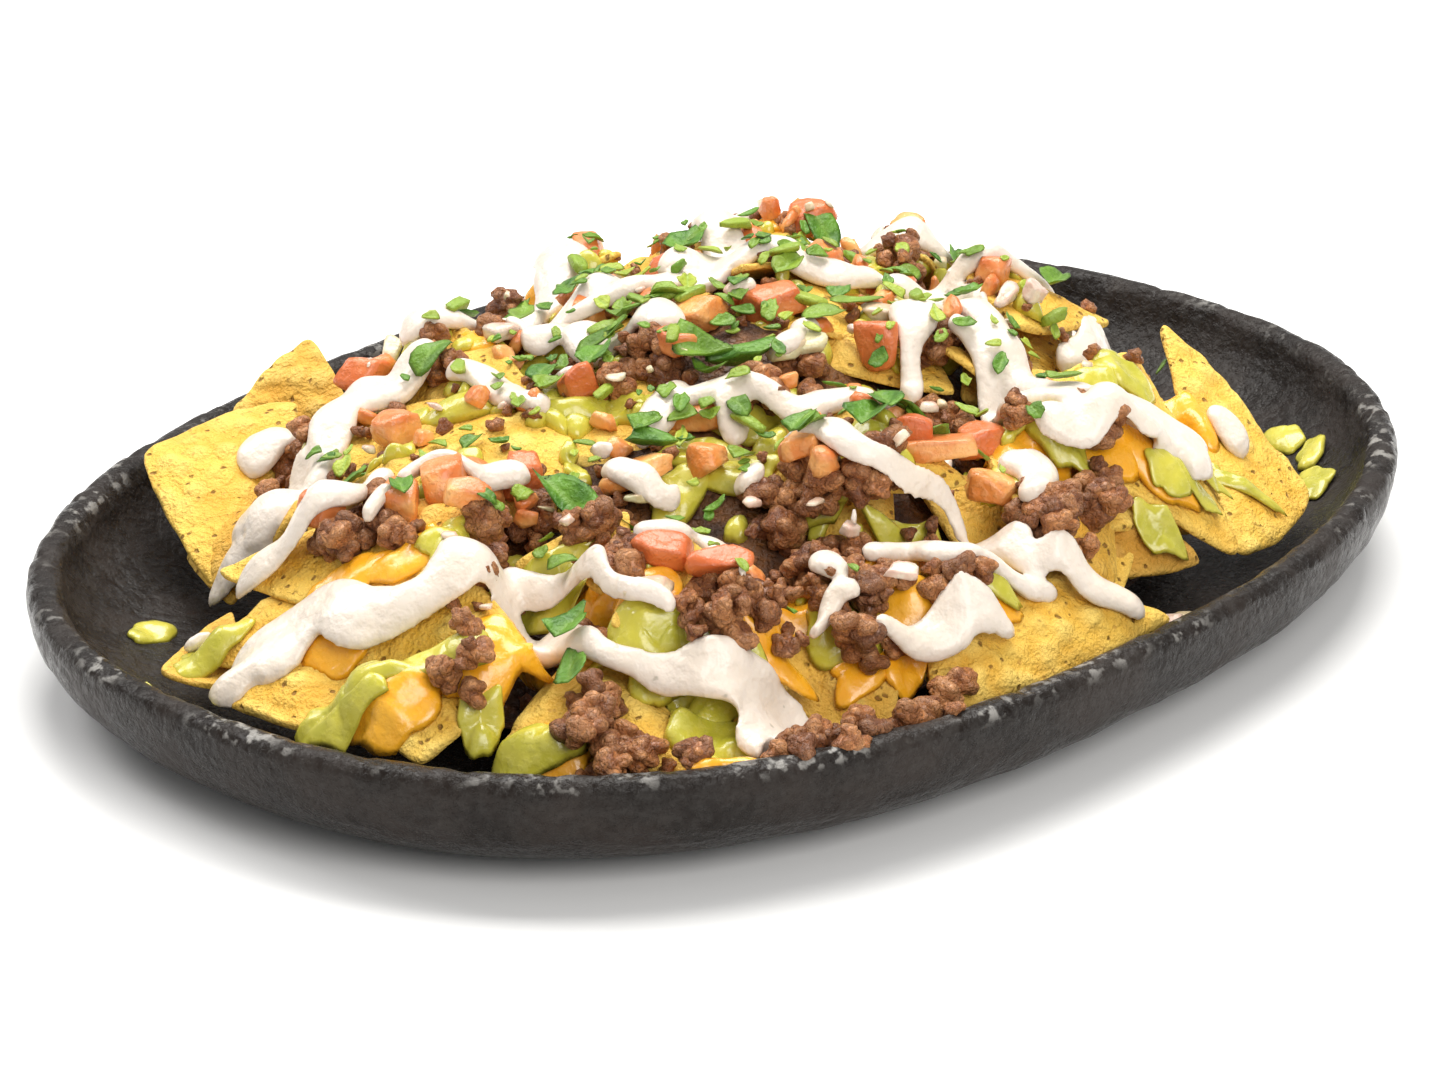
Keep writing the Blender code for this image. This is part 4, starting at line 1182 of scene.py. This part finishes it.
# Mince: x, y, how wide the bunch is, and how many crumbs it has.
BEEF = (
    (-66, 70, 12, 8), (-74, 62, 9, 5), (-106, 13, 13, 8), (-102, 5, 9, 4), (-92, 13, 11, 7),
    (-110, 7, 8, 4), (-104, -4, 8, 4), (-89, -15, 10, 7), (-70, -10, 10, 6), (-78, -32, 12, 9),
    (-84, -46, 13, 9), (-61, -19, 9, 5), (-19, 8, 13, 11), (-21, 2, 11, 8), (-32, 4, 9, 6), (0, 26, 10, 6),
    (-39, -51, 20, 18), (-32, -63, 14, 9), (-15, -24, 12, 8), (0, -22, 11, 7), (-22, -20, 10, 6),
    (32, -32, 14, 10), (43, -36, 12, 9), (36, -45, 11, 8), (19, -53, 12, 8), (16, -43, 10, 6),
    (15, -64, 9, 6), (27, -77, 13, 10), (2, -88, 15, 12), (-4, -88, 12, 8), (15, -87, 12, 8),
    (-1, -80, 9, 5), (-33, -87, 13, 9), (-26, -90, 9, 5), (-84, -67, 13, 10), (-77, -71, 12, 8),
    (-61, -62, 11, 7), (-49, -62, 12, 8), (-81, -72, 11, 6), (-72, -76, 9, 4), (-47, -73, 10, 6),
    (-46, -78, 10, 5), (-49, -74, 9, 4), (-106, -60, 10, 5), (-113, -64, 14, 10), (-112, -68, 14, 9),
    (-110, -76, 10, 6), (-108, -83, 9, 5), (-90, -97, 10, 6), (-81, -100, 10, 6), (-57, -82, 12, 8),
    (-51, -83, 11, 7), (-73, -101, 10, 6), (-65, -102, 10, 6), (-66, -95, 10, 5), (-58, -97, 10, 6),
    (-50, -101, 9, 4), (-58, -104, 9, 5), (-74, -91, 9, 4), (-125, -38, 7, 3), (-123, -43, 7, 4),
    (-101, -22, 6, 4), (-117, -33, 5, 2), (-59, -44, 10, 6), (-117, -73, 9, 6), (-21, -73, 9, 5),
    (-23, -65, 9, 5), (-39, 46, 8, 4), (-34, 56, 8, 4), (-20, 50, 10, 5), (6, 74, 13, 6), (42, 42, 11, 4),
    (70, 60, 12, 6), (96, 20, 12, 5), (64, 4, 13, 6), (30, 16, 9, 3), (-46, 74, 12, 6), (88, -30, 13, 8),
    (100, -50, 9, 4),
)
# Tomato: x, y, half sizes along, across and up, turn in degrees, how red its skin side is (0 to 1).
TOMATO = (
    (-63, 38, 5, 5, 4, 0, 0.2), (-97, 3, 5, 4, 4, 30, 0), (-86, 1, 6, 6, 5, -50, 0),
    (-76, 3, 7, 6, 5, -30, 0.2), (-68, -3, 5, 5, 4, -50, 1), (-93, -12, 5, 4, 3, -50, 0),
    (-4, 36, 6, 5, 4, 10, 0), (-4, 7, 6, 5, 4, -60, 0), (13, 6, 9, 4, 2.2, -48, 1),
    (12, -2, 7, 5, 4, -30, 0.7), (16, -27, 4, 5, 5, 30, 0.9), (-28, -15, 10, 6, 2.6, -60, 0),
    (-37, 10, 5, 4, 4, -30, 1), (-40, -29, 5, 4, 3, 0, 0), (-12, -61, 5, 3, 3, -50, 1),
    (10, -60, 5, 5, 4, -20, 0.8), (-10, -66, 9, 5, 3, -50, 0), (0, -72, 6, 4, 3, -50, 0),
    (-80, -54, 6, 4, 3, -40, 1), (-76, -65, 6, 3, 3, -50, 1), (-52, -20, 8, 4, 2.6, -60, 0),
    (-106, 16, 4, 4, 4, 0, 0.8), (-30, -57, 3, 3, 3, 0, 0.3), (-33, -50, 5, 4, 3, 0, 0),
    (-10, 11, 4, 4, 3, 0, 0), (-20, -2, 4, 4, 3, 0, 0.6), (20, 34, 6, 5, 3, 0, 1), (48, 54, 5, 4, 3, 40, 0),
    (-12, 64, 7, 5, 4, 10, 1), (80, 18, 5, 4, 3, 80, 0), (50, -2, 7, 5, 4, 30, 0.8),
    (86, -4, 6, 5, 4, 0, 0), (30, 70, 5, 4, 3, 50, 0), (-46, 64, 6, 5, 4, 0, 1), (94, 40, 5, 5, 4, 0, 1),
    (38, 8, 5, 4, 3, 20, 0), (-30, 80, 5, 5, 4, 60, 0), (66, 36, 6, 5, 4, 0, 1),
    (60, -22, 5, 4, 3, 20, 0.4),
)
# Onion: x, y, half sizes, turn, how green.
ONION = (
    (-26, 43, 5, 4, 2.6, 0, 0), (4, 42, 6, 4, 3, -40, 0), (-4, -19, 6, 4, 2.4, -30, 0.5),
    (52, -33, 5, 3, 2.4, 20, 0), (56, -37, 4, 3, 3, 0, 0), (66, -50, 6, 3, 2, -50, 0),
    (24, -100, 5, 3, 2, -40, 0.1), (31, -100, 5, 2.5, 2, -40, 0.7), (-16, 34, 5, 3, 2.4, -50, 0),
    (-93, -38, 5, 4, 2, -20, 0.2), (-90, -58, 7, 6, 1.8, -50, 0.2), (9, 5, 4, 3, 3, 0, 0),
    (0, -21, 6, 4, 2, -50, 0.5), (-38, -66, 3, 2.4, 2, 0, 0), (-43, -84, 5, 2.6, 1.6, -50, 0),
    (16, 50, 6, 3, 2, 0, 0), (66, 48, 6, 3, 2, 60, 0.2), (60, -14, 6, 3, 2, 10, 0),
    (-34, 68, 6, 3, 2, 30, 0.3), (80, 44, 5, 3, 2, 0, 0), (26, -20, 6, 3, 2, -50, 0.4),
    (-56, -26, 5, 3, 1.6, 0, 0.5), (40, 60, 6, 3, 2, 0, 0), (-66, -18, 4, 3, 1.6, 40, 0.2),
)
# Leaves: x, y, length, width, turn, how yellow.
LEAVES = (
    (-70, -23, 26, 7, -88, 0), (-10, -14, 17, 9, -30, 0), (-19, -8, 12, 9, -40, 0.15),
    (-21, -13, 9, 6, 80, 0.1), (-2, 46, 9, 6, 60, 0), (-29, 13, 11, 7, 20, 0), (-86, 29, 9, 6, 0, 0.1),
    (-46, -19, 11, 6, -60, 0), (-101, -47, 9, 7, 0, 0), (-107, -53, 9, 6, 40, 0), (-20, -56, 13, 9, 20, 0),
    (-14, -55, 9, 7, 60, 0), (-7, -53, 14, 7, 80, 0.1), (-6, -60, 10, 7, 20, 0.25),
    (11, -16, 10, 7, -30, 0.35), (23, -14, 10, 6, -40, 0.35), (-34, -49, 9, 6, 0, 0.05),
    (8, 5, 7, 4, 20, 0), (-42, -14, 8, 5, 0, 0.1), (-22, 18, 9, 6, -40, 0.1), (-38, 19, 10, 6, 20, 0),
    (-99, 1, 8, 5, 60, 0), (46, -27, 7, 5, 0, 0), (-38, -37, 7, 5, 0, 0.4), (29, -67, 8, 4, -40, 0.3),
    (-5, 14, 9, 5, -50, 0.4), (24, 5, 8, 6, 0, 0.4), (-12, 20, 8, 5, 10, 0.2), (-44, 12, 7, 5, 0, 0.3),
    (-89, -34, 7, 4, -50, 0.2), (30, 40, 13, 8, 20, 0), (64, 30, 12, 7, 80, 0), (0, 66, 12, 7, 10, 0.1),
    (46, 22, 13, 8, 40, 0.2), (82, 4, 11, 7, 60, 0), (-44, 46, 10, 6, 0, 0.1), (58, 62, 11, 7, 0, 0),
    (72, -30, 10, 6, 20, 0.1), (104, 26, 9, 6, 0, 0), (-14, 48, 9, 6, 30, 0.3),
)
# Spring onion sticks: x, y, half length, turn, how pale.
STICKS = (
    (-5, 16, 9, -50, 0.5), (26, 8, 6, -48, 0.75), (12, 26, 4, 20, 0.1), (-2, 10, 6, -20, 0.6),
    (-9, 17, 6, -70, 0.4), (-22, -3, 6, 40, 0.5), (-30, -20, 5, 30, 0.3), (58, -41, 5, -30, 0.5),
    (-46, 36, 6, 30, 0.7), (40, 34, 7, 0, 0.6), (14, 58, 7, 60, 0.4), (74, 40, 6, 20, 0.6),
    (62, -6, 7, 40, 0.5), (-24, 58, 6, 10, 0.6), (52, 10, 5, 80, 0.3), (-14, 24, 6, -30, 0.6),
    (16, -8, 6, -60, 0.7), (-38, 2, 5, 10, 0.6), (30, -26, 5, 50, 0.6), (-28, -30, 6, -80, 0.7),
)
# Ribbons and dollops of sour cream: x, y and width at each turning point.
CREAM = (
    ((-142, 8, 9), (-135, 10, 12), (-127, 8, 13), (-122, 4, 14), (-120, -1, 14), (-119, -8, 14),
     (-116, -15, 12), (-108, -20, 12), (-98, -22, 9), (-94, -22, 5)),
    ((-106, -22, 9), (-100, -26, 10), (-99, -36, 11), (-99, -46, 9), (-101, -57, 7), (-97, -66, 9),
     (-91, -74, 14), (-86, -80, 18), (-83, -87, 20), (-83, -94, 16)),
    ((-95, -22, 7), (-91, -28, 9), (-88, -39, 8), (-92, -48, 5), (-93, -58, 5), (-89, -66, 4)),
    ((-69, 58, 6), (-80, 54, 9), (-87, 51, 12), (-90, 56, 14), (-93, 57, 9)),
    ((-82, 20, 6), (-93, 18, 8), (-103, 16, 9), (-108, 19, 10), (-111, 24, 9), (-116, 32, 7)),
    ((-92, 46, 8), (-95, 53, 10), (-98, 60, 7)),
    ((-98, 5, 3), (-103, 5, 3), (-107, 4, 2.5)),
    ((-95, 4, 3), (-90, 7, 4), (-84, 6, 5), (-80, 0, 5), (-74, -3, 6), (-69, -7, 4)),
    ((-38, 52, 6), (-47, 52, 10), (-54, 57, 10), (-60, 58, 8), (-70, 52, 7), (-78, 47, 5)),
    ((-45, 41, 4), (-43, 37, 6), (-44, 28, 7), (-49, 15, 6), (-49, 8, 4)),
    ((-27, 32, 4), (-32, 23, 5), (-36, 12, 4)),
    ((-25, 38, 6), (-15, 35, 8)),
    ((-13, 33, 8), (-16, 22, 11), (-13, 12, 11), (-16, 1, 7)),
    ((0, 43, 6), (2, 36, 7)),
    ((13, 35, 6), (17, 31, 8), (22, 24, 9), (27, 17, 9), (34, 10, 6)),
    ((-25, -9, 5), (-31, -10, 6), (-38, -12, 6), (-44, -14, 4)),
    ((-33, -12, 4), (-27, -15, 6), (-24, -20, 6), (-31, -29, 4)),
    ((-51, -9, 6), (-48, -8, 6)),
    ((-55, -14, 4), (-56, -23, 6), (-54, -29, 6), (-48, -30, 4)),
    ((-42, -38, 7), (-39, -44, 8)),
    ((-82, -47, 4), (-74, -50, 7), (-65, -48, 9), (-66, -56, 8), (-74, -66, 5)),
    ((-8, -17, 4), (-2, -19, 6), (10, -14, 5)),
    ((-20, -15, 4), (-21, -25, 5), (-19, -35, 6), (-10, -38, 8), (-3, -43, 7), (-10, -53, 5)),
    ((-27, -40, 5), (-31, -52, 6), (-31, -63, 6), (-26, -69, 7), (-16, -71, 8), (-13, -76, 8)),
    ((45, -13, 6), (53, -14, 9), (50, -23, 7), (45, -31, 5)),
    ((12, -40, 5), (28, -27, 9), (40, -24, 10), (42, -30, 8), (37, -43, 5), (30, -57, 6), (29, -66, 6),
     (33, -72, 4)),
    ((56, -46, 6), (66, -43, 9), (76, -39, 10), (84, -38, 7)),
    ((84, -38, 5), (92, -42, 8), (95, -50, 6)),
    ((29, -35, 4), (31, -44, 5), (17, -62, 5), (25, -64, 5), (26, -74, 3)),
    ((16, -70, 7), (20, -76, 9), (29, -79, 12), (42, -77, 15), (48, -81, 16), (47, -87, 11), (43, -90, 5)),
    ((5, -69, 5), (7, -74, 7), (8, -78, 7), (-2, -85, 4)),
    ((-1, -56, 8), (6, -54, 8)),
    ((-13, -76, 8), (-10, -82, 8), (-9, -90, 8), (-4, -97, 8), (3, -102, 8), (10, -106, 5)),
    ((-43, -74, 5), (-32, -77, 6), (-30, -86, 6), (-20, -90, 6), (-9, -97, 5)),
    ((-56, -88, 3), (-48, -91, 6), (-41, -93, 10), (-36, -94, 13), (-31, -96, 11), (-26, -99, 5)),
    ((-34, -91, 5), (-36, -96, 6)),
    ((79, -67, 4), (79, -73, 7), (77, -79, 5)),
    ((-127, 33, 9), (-128, 29, 10)),
    ((10, 6, 6), (12, 3, 7)),
    ((-77, -70, 4), (-76, -72, 5)),
    ((-38, -66, 4), (-37, -68, 5)),
    ((-51, -67, 4), (-52, -73, 5), (-52, -78, 3)),
    ((-64, -78, 3), (-57, -78, 5), (-53, -82, 3)),
    ((-38, 62, 6), (-20, 58, 10), (-2, 56, 9), (12, 62, 11), (26, 76, 9)),
    ((22, 26, 5), (32, 30, 7), (44, 44, 7), (60, 54, 9), (76, 54, 8)),
    ((26, 12, 4), (34, 2, 7), (46, -2, 6)),
    ((-14, 40, 4), (-4, 30, 6), (8, 26, 7), (20, 18, 5)),
    ((68, 24, 5), (78, 14, 7), (90, 8, 8), (100, -4, 8), (102, -22, 7)),
    ((44, -4, 6), (56, -14, 9), (70, -22, 8), (84, -26, 7)),
    ((-52, 70, 6), (-62, 76, 9), (-72, 74, 7)),
    ((6, 34, 6), (-8, 42, 9), (-22, 44, 7)),
)
# Bare chip that stays free of scattered crumbs: x, y, radius.
BARE = (
    (-100, 62, 26), (-108, 8, 22), (-126, -6, 24), (-112, -58, 24), (-18, -96, 26), (10, -98, 20),
    (58, -84, 24), (84, -76, 24), (-134, 24, 14), (30, -74, 14),
)


# ---------------------------------------------------------------- what a user may change


def colour_property(name, description, default):
    """A colour that a user may change."""
    return bpy.props.FloatVectorProperty(name=name, description=description, subtype="COLOR", size=3,
                                         min=0.0, max=1.0, default=default)


class NACHOS_PG_settings(bpy.types.PropertyGroup):
    """Sizes and colours of the nachos and their dish."""

    glaze: colour_property("Glaze", "Darkest colour of the dish", (0.012, 0.009, 0.0075))
    # The worn lip's colour and amount are worn clay together with painted glints.
    worn_and_glinting: colour_property("Worn lip", "Colour where the lip is worn", (0.36, 0.345, 0.32))
    wear_and_glinting: bpy.props.FloatProperty(name="Wear", description="How worn the lip is", default=0.8,
                                  min=0.0, max=1.0, subtype="FACTOR")
    texture: bpy.props.FloatProperty(name="Beaten depth", default=0.9, min=0.0, max=2.0,
                                     description="Depth of the dish's uneven surface, in mm")
    gold: colour_property("Chip", "Main colour of the chips", (0.86, 0.53, 0.078))
    deep: colour_property("Chip, deeper", "Colour of the deeper fried patches", (0.76, 0.385, 0.033))
    pale: colour_property("Chip, paler", "Colour of blisters and edges", (0.92, 0.67, 0.17))
    cheese: colour_property("Cheese", "Main colour of the cheese", (0.92, 0.40, 0.013))
    guacamole: colour_property("Guacamole", "Main colour of the guacamole", (0.47, 0.44, 0.035))
    beef: colour_property("Mince", "Main colour of the mince", (0.47, 0.175, 0.052))
    seared: colour_property("Mince, seared", "Colour of the darker mince", (0.27, 0.088, 0.026))
    cream: colour_property("Sour cream", "Colour of the sour cream", (0.77, 0.68, 0.59))
    crumbs: bpy.props.IntProperty(name="Loose crumbs", default=300, min=0, max=600,
                                  description="Mince crumbs scattered between the bunches")
    light: bpy.props.FloatProperty(name="Light", default=32.0, min=0.0, unit="POWER",
                                   description="Power from which each soft light takes its share")
    floor: colour_property("Floor", "Colour of the floor", (0.93, 0.93, 0.925))


def settings():
    """What the user has chosen."""
    return bpy.context.scene.nachos


def skins_piece(name, skins, finish, nodes=(), covers=True):
    """Finishes a piece from its skins and raises the ground under what comes next."""
    finish_piece(name, skins.mesh(name), finish, nodes)
    if covers:
        GROUND.cover(skins)


# ---------------------------------------------------------------- operators, one for each kind of piece


class NACHOS_OT_dish(bpy.types.Operator):
    """Makes the oval stoneware dish"""

    bl_idname = "nachos.dish"
    bl_label = "Dish"

    def execute(self, context):
        skins_piece("stoneware_dish", dish_skins(settings()), stoneware_finish(settings()), ("dish",))
        return {"FINISHED"}


class NACHOS_OT_bed(bpy.types.Operator):
    """Makes the dark inside of the heap that the chips lie on, its colour painted shade"""

    bl_idname = "nachos.bed"
    bl_label = "Heap inside"

    def execute(self, context):
        skins_piece("heap_inside_painted_shade", bed_skins(), bed_finish(), ("heap_core",))
        return {"FINISHED"}


class NACHOS_OT_chips(bpy.types.Operator):
    """Makes the whole chips of the model, finely blistered, and the chips between and under them"""

    bl_idname = "nachos.chips"
    bl_label = "Chips"

    def execute(self, context):
        rng = np.random.default_rng(7)
        inner = Skins()
        # Painted shade for the chips between and under the others: the listed amount for the inner chips, a
        # random one for the piled chips.
        for *corners, painted_shade in INNER_CHIPS:
            points, rings, marks = chip_skin(np.array(corners) * MM, 2 * MM, rng, *INNER_FINENESS)
            inner.add(points, rings, INNER_FINENESS[1], shade=np.full(1, painted_shade * 0.9), **marks)
        for count, low, high, lift in PILED_CHIPS:
            for corners in pile_chips(rng, count, low, high, lift * MM):
                points, rings, marks = chip_skin(corners, rng.uniform(1, 4) * MM, rng, *INNER_FINENESS)
                inner.add(points, rings, INNER_FINENESS[1], shade=rng.uniform(0, 0.3, 1), **marks)
        skins_piece("chips_between", inner, chip_finish(settings()))
        whole = Skins()
        for name in frame_nodes("chip_"):
            corners, bow = chip_corners(name)
            points, rings, marks = chip_skin(corners, bow, rng, *WHOLE_FINENESS)
            # A small random tone for the whole chips; the two shaded ones get painted shade.
            shade = CHIP_PAINTED_SHADE if name in SHADED_CHIPS else rng.uniform(0, 0.08)
            whole.add(points, rings, WHOLE_FINENESS[1], shade=np.full(1, shade), **marks)
        skins_piece("chips_whole", whole, chip_finish(settings()), frame_nodes("chip_"))
        return {"FINISHED"}


class NACHOS_OT_covers(bpy.types.Operator):
    """Makes the melted cheese and the guacamole that lie over the chips"""

    bl_idname = "nachos.covers"
    bl_label = "Cheese and guacamole"

    def execute(self, context):
        rng = np.random.default_rng(11)
        cheese, mash = Skins(), Skins()
        cover_skins(cheese, rng, CHEESE, 0.4)
        skins_piece("cheese", cheese, cheese_finish(settings()), frame_nodes("cheese_"))
        cover_skins(mash, rng, GUACAMOLE)
        places = scattered(rng, LOOSE_GUACAMOLE, 0.02, 0.8) / MM
        halves = rng.uniform(1.6, 4.2, (len(places), 2))
        turns = rng.uniform(0, 180, len(places))
        bits = np.column_stack([places, halves, turns, rng.uniform(1.2, 3.0, len(places))])
        cover_skins(mash, rng, bits, 0.6, 6, 18)
        skins_piece("guacamole", mash, guacamole_finish(settings()), frame_nodes("guacamole_"))
        return {"FINISHED"}


class NACHOS_OT_beef(bpy.types.Operator):
    """Makes the browned mince: bunches of large crumbs and loose small ones"""

    bl_idname = "nachos.beef"
    bl_label = "Mince"

    def execute(self, context):
        rng = np.random.default_rng(23)
        skins = Skins()
        table = np.array(BEEF, dtype=float)
        for layer_share, spread in ((0.55, 1), (0.45, 0.7)):
            number = np.maximum(1, (table[:, 3] * layer_share).round().astype(int))
            host = np.repeat(np.arange(len(table)), number)
            away = rng.normal(0, 0.27, (len(host), 2)) * table[host, 2:3]
            places = (table[host, :2] + away * spread) * MM
            radii = rng.uniform(2.1, 4.4, len(host)) * MM * (0.8 + 0.4 * (table[host, 2] / 20))
            large = radii > LARGE_CRUMB
            gloom = rng.uniform(0, 1, len(host)) ** 2 * 0.7
            layer = Skins()
            crumbs(layer, rng, places[large], radii[large], 13, 19, 13, gloom[large])
            crumbs(layer, rng, places[~large], radii[~large], 7, 11, 7, gloom[~large])
            skins.join(layer)
            GROUND.cover(layer)
        places = scattered(rng, settings().crumbs, 0.02, 0.85)
        radii = rng.uniform(1.3, 2.6, len(places)) * MM
        crumbs(skins, rng, places, radii, 6, 9, 7, rng.uniform(0, 0.4, len(places)))
        skins_piece("mince", skins, beef_finish(settings()), frame_nodes("beef_"))
        return {"FINISHED"}


class NACHOS_OT_vegetables(bpy.types.Operator):
    """Makes the diced tomato and the onion"""

    bl_idname = "nachos.vegetables"
    bl_label = "Tomato and onion"

    def execute(self, context):
        rng = np.random.default_rng(31)
        tomato, onion = Skins(), Skins()
        table_dice(tomato, rng, TOMATO, 0.8)
        places = scattered(rng, LOOSE_TOMATO, 0.03, 0.8)
        sizes = rng.uniform(1.5, 3.2, (len(places), 3)) * MM
        dice(tomato, rng, places, sizes, 8, 12, rng.uniform(0, 0.5, len(places)) ** 2)
        skins_piece("tomato", tomato, tomato_finish(), frame_nodes("tomato_"))
        table_dice(onion, rng, np.array(ONION) * (1, 1, 0.8, 0.8, 0.8, 1, 1), 1.0, 12, 18)
        places = scattered(rng, LOOSE_ONION, 0.03, 0.9)
        sizes = rng.uniform(1.0, 2.4, (len(places), 3)) * (1, 0.8, 0.5) * MM
        dice(onion, rng, places, sizes, 7, 12, rng.uniform(0, 0.8, len(places)) ** 2)
        skins_piece("onion", onion, onion_finish())
        return {"FINISHED"}


class NACHOS_OT_cream(bpy.types.Operator):
    """Makes the ribbons and dollops of sour cream, melted into one another"""

    bl_idname = "nachos.cream"
    bl_label = "Sour cream"

    def execute(self, context):
        rng = np.random.default_rng(43)
        skins = Skins()
        for path in CREAM:
            ribbon_skin(skins, rng, path)
        voxel = CREAM_VOXEL
        mesh = fused(skins, "sour_cream", voxel, CREAM_ROUNDS)
        points, normals = mesh_points(mesh), mesh_points(mesh, "normal")
        swell = waves(points, 7 * MM, 81) * 0.35 + waves(points, 2.6 * MM, 82) * 0.10
        points += normals * swell[:, None] * MM
        mesh.vertices.foreach_set("co", points.ravel())
        mesh.update()
        finish_piece("sour_cream", mesh, cream_finish(settings()), frame_nodes("cream_"))
        GROUND.cover(skins)
        return {"FINISHED"}


class NACHOS_OT_herbs(bpy.types.Operator):
    """Makes the herb leaves, spring onion sticks and small green bits"""

    bl_idname = "nachos.herbs"
    bl_label = "Herbs"

    def execute(self, context):
        rng = np.random.default_rng(53)
        skins, sticks = Skins(), Skins()
        table = np.array(LEAVES, dtype=float)
        leaves(skins, rng, table[:, :2] * MM, table[:, 2] * MM, table[:, 3] * MM, np.radians(table[:, 4]),
               table[:, 5])
        places = np.concatenate([scattered(rng, LOOSE_HERBS, 0.02, 0.9),
                                 scattered(rng, LOOSE_HERBS_INNER, 0.02, 0.55)])
        count = len(places)
        lengths = rng.uniform(2.2, 6.0, count) * MM
        leaves(skins, rng, places, lengths, lengths * rng.uniform(0.4, 0.8, count),
               rng.uniform(0, math.pi, count), rng.uniform(0, 1.0, count) ** 1.6, 0.5 * MM)
        rows = [(x, y, half * 0.75, 1.7, 1.1, turn, tone) for x, y, half, turn, tone in STICKS]
        table_dice(sticks, rng, rows, 1.0, 10, 14)
        sticks.marks["vein"] = sticks.marks.pop("skin")
        skins.join(sticks)
        skins_piece("herbs", skins, herb_finish(), frame_nodes("herb_leaf_"), covers=False)
        return {"FINISHED"}


class NACHOS_OT_stage(bpy.types.Operator):
    """Makes the pale floor, the soft lights and the camera"""

    bl_idname = "nachos.stage"
    bl_label = "Stage"

    def execute(self, context):
        scene = context.scene
        mesh = bpy.data.meshes.new("floor")
        corners = [(x * FLOOR_HALF, y * FLOOR_HALF, 0) for x, y in ((-1, -1), (1, -1), (1, 1), (-1, 1))]
        mesh.from_pydata(corners, [], [(0, 1, 2, 3)])
        floor = linked("floor", mesh)
        plain = Finish("pale_floor", 0.9)
        if plain.fresh:
            plain.set(tuple(settings().floor))
        mesh.materials.append(plain.material)
        for name, place, size, power, warmth in LIGHTS:
            light = bpy.data.lights.new(name, "AREA")
            light.energy, light.size, light.color = settings().light * power, size, warmth
            aimed(linked(name, light), place, Vector((0, 0, 0)))
        world = bpy.data.worlds.new("studio")
        world.use_nodes = True
        background = world.node_tree.nodes["Background"]
        background.inputs["Color"].default_value = (1.0, 1.0, 1.0, 1.0)
        background.inputs["Strength"].default_value = SKY_STRENGTH
        scene.world = world
        scene.view_settings.view_transform = "Standard"
        lens = bpy.data.cameras.new("camera")
        lens.lens, lens.sensor_width = CAMERA_LENS, CAMERA_SENSOR
        lens.shift_x, lens.shift_y = CAMERA_SHIFT
        lens.clip_start, lens.clip_end = 0.05, 20.0
        camera = linked("camera", lens)
        aimed(camera, CAMERA_PLACE, CAMERA_AIM)
        scene.camera = camera
        return {"FINISHED"}


OPERATORS = (NACHOS_OT_dish, NACHOS_OT_bed, NACHOS_OT_chips, NACHOS_OT_covers, NACHOS_OT_beef,
             NACHOS_OT_vegetables, NACHOS_OT_cream, NACHOS_OT_herbs, NACHOS_OT_stage)


class NACHOS_PT_panel(bpy.types.Panel):
    """Lists the settings and the pieces."""

    bl_idname = "NACHOS_PT_panel"
    bl_label = "Loaded nachos"
    bl_space_type = "VIEW_3D"
    bl_region_type = "UI"
    bl_category = "Nachos"

    def draw(self, context):
        for name in NACHOS_PG_settings.__annotations__:
            self.layout.prop(context.scene.nachos, name)
        for operator in OPERATORS:
            self.layout.operator(operator.bl_idname)


CLASSES = (NACHOS_PG_settings, *OPERATORS, NACHOS_PT_panel)


def register():
    """Adds the settings, the operators and the panel to Blender."""
    for kind in CLASSES:
        bpy.utils.register_class(kind)
    bpy.types.Scene.nachos = bpy.props.PointerProperty(type=NACHOS_PG_settings)


def unregister():
    """Takes them out again, last first."""
    del bpy.types.Scene.nachos
    for kind in reversed(CLASSES):
        bpy.utils.unregister_class(kind)


def main():
    """Makes every piece in order."""
    register()
    for operator in OPERATORS:
        group, name = operator.bl_idname.split(".")
        getattr(getattr(bpy.ops, group), name)()


if __name__ == "__main__":
    main()
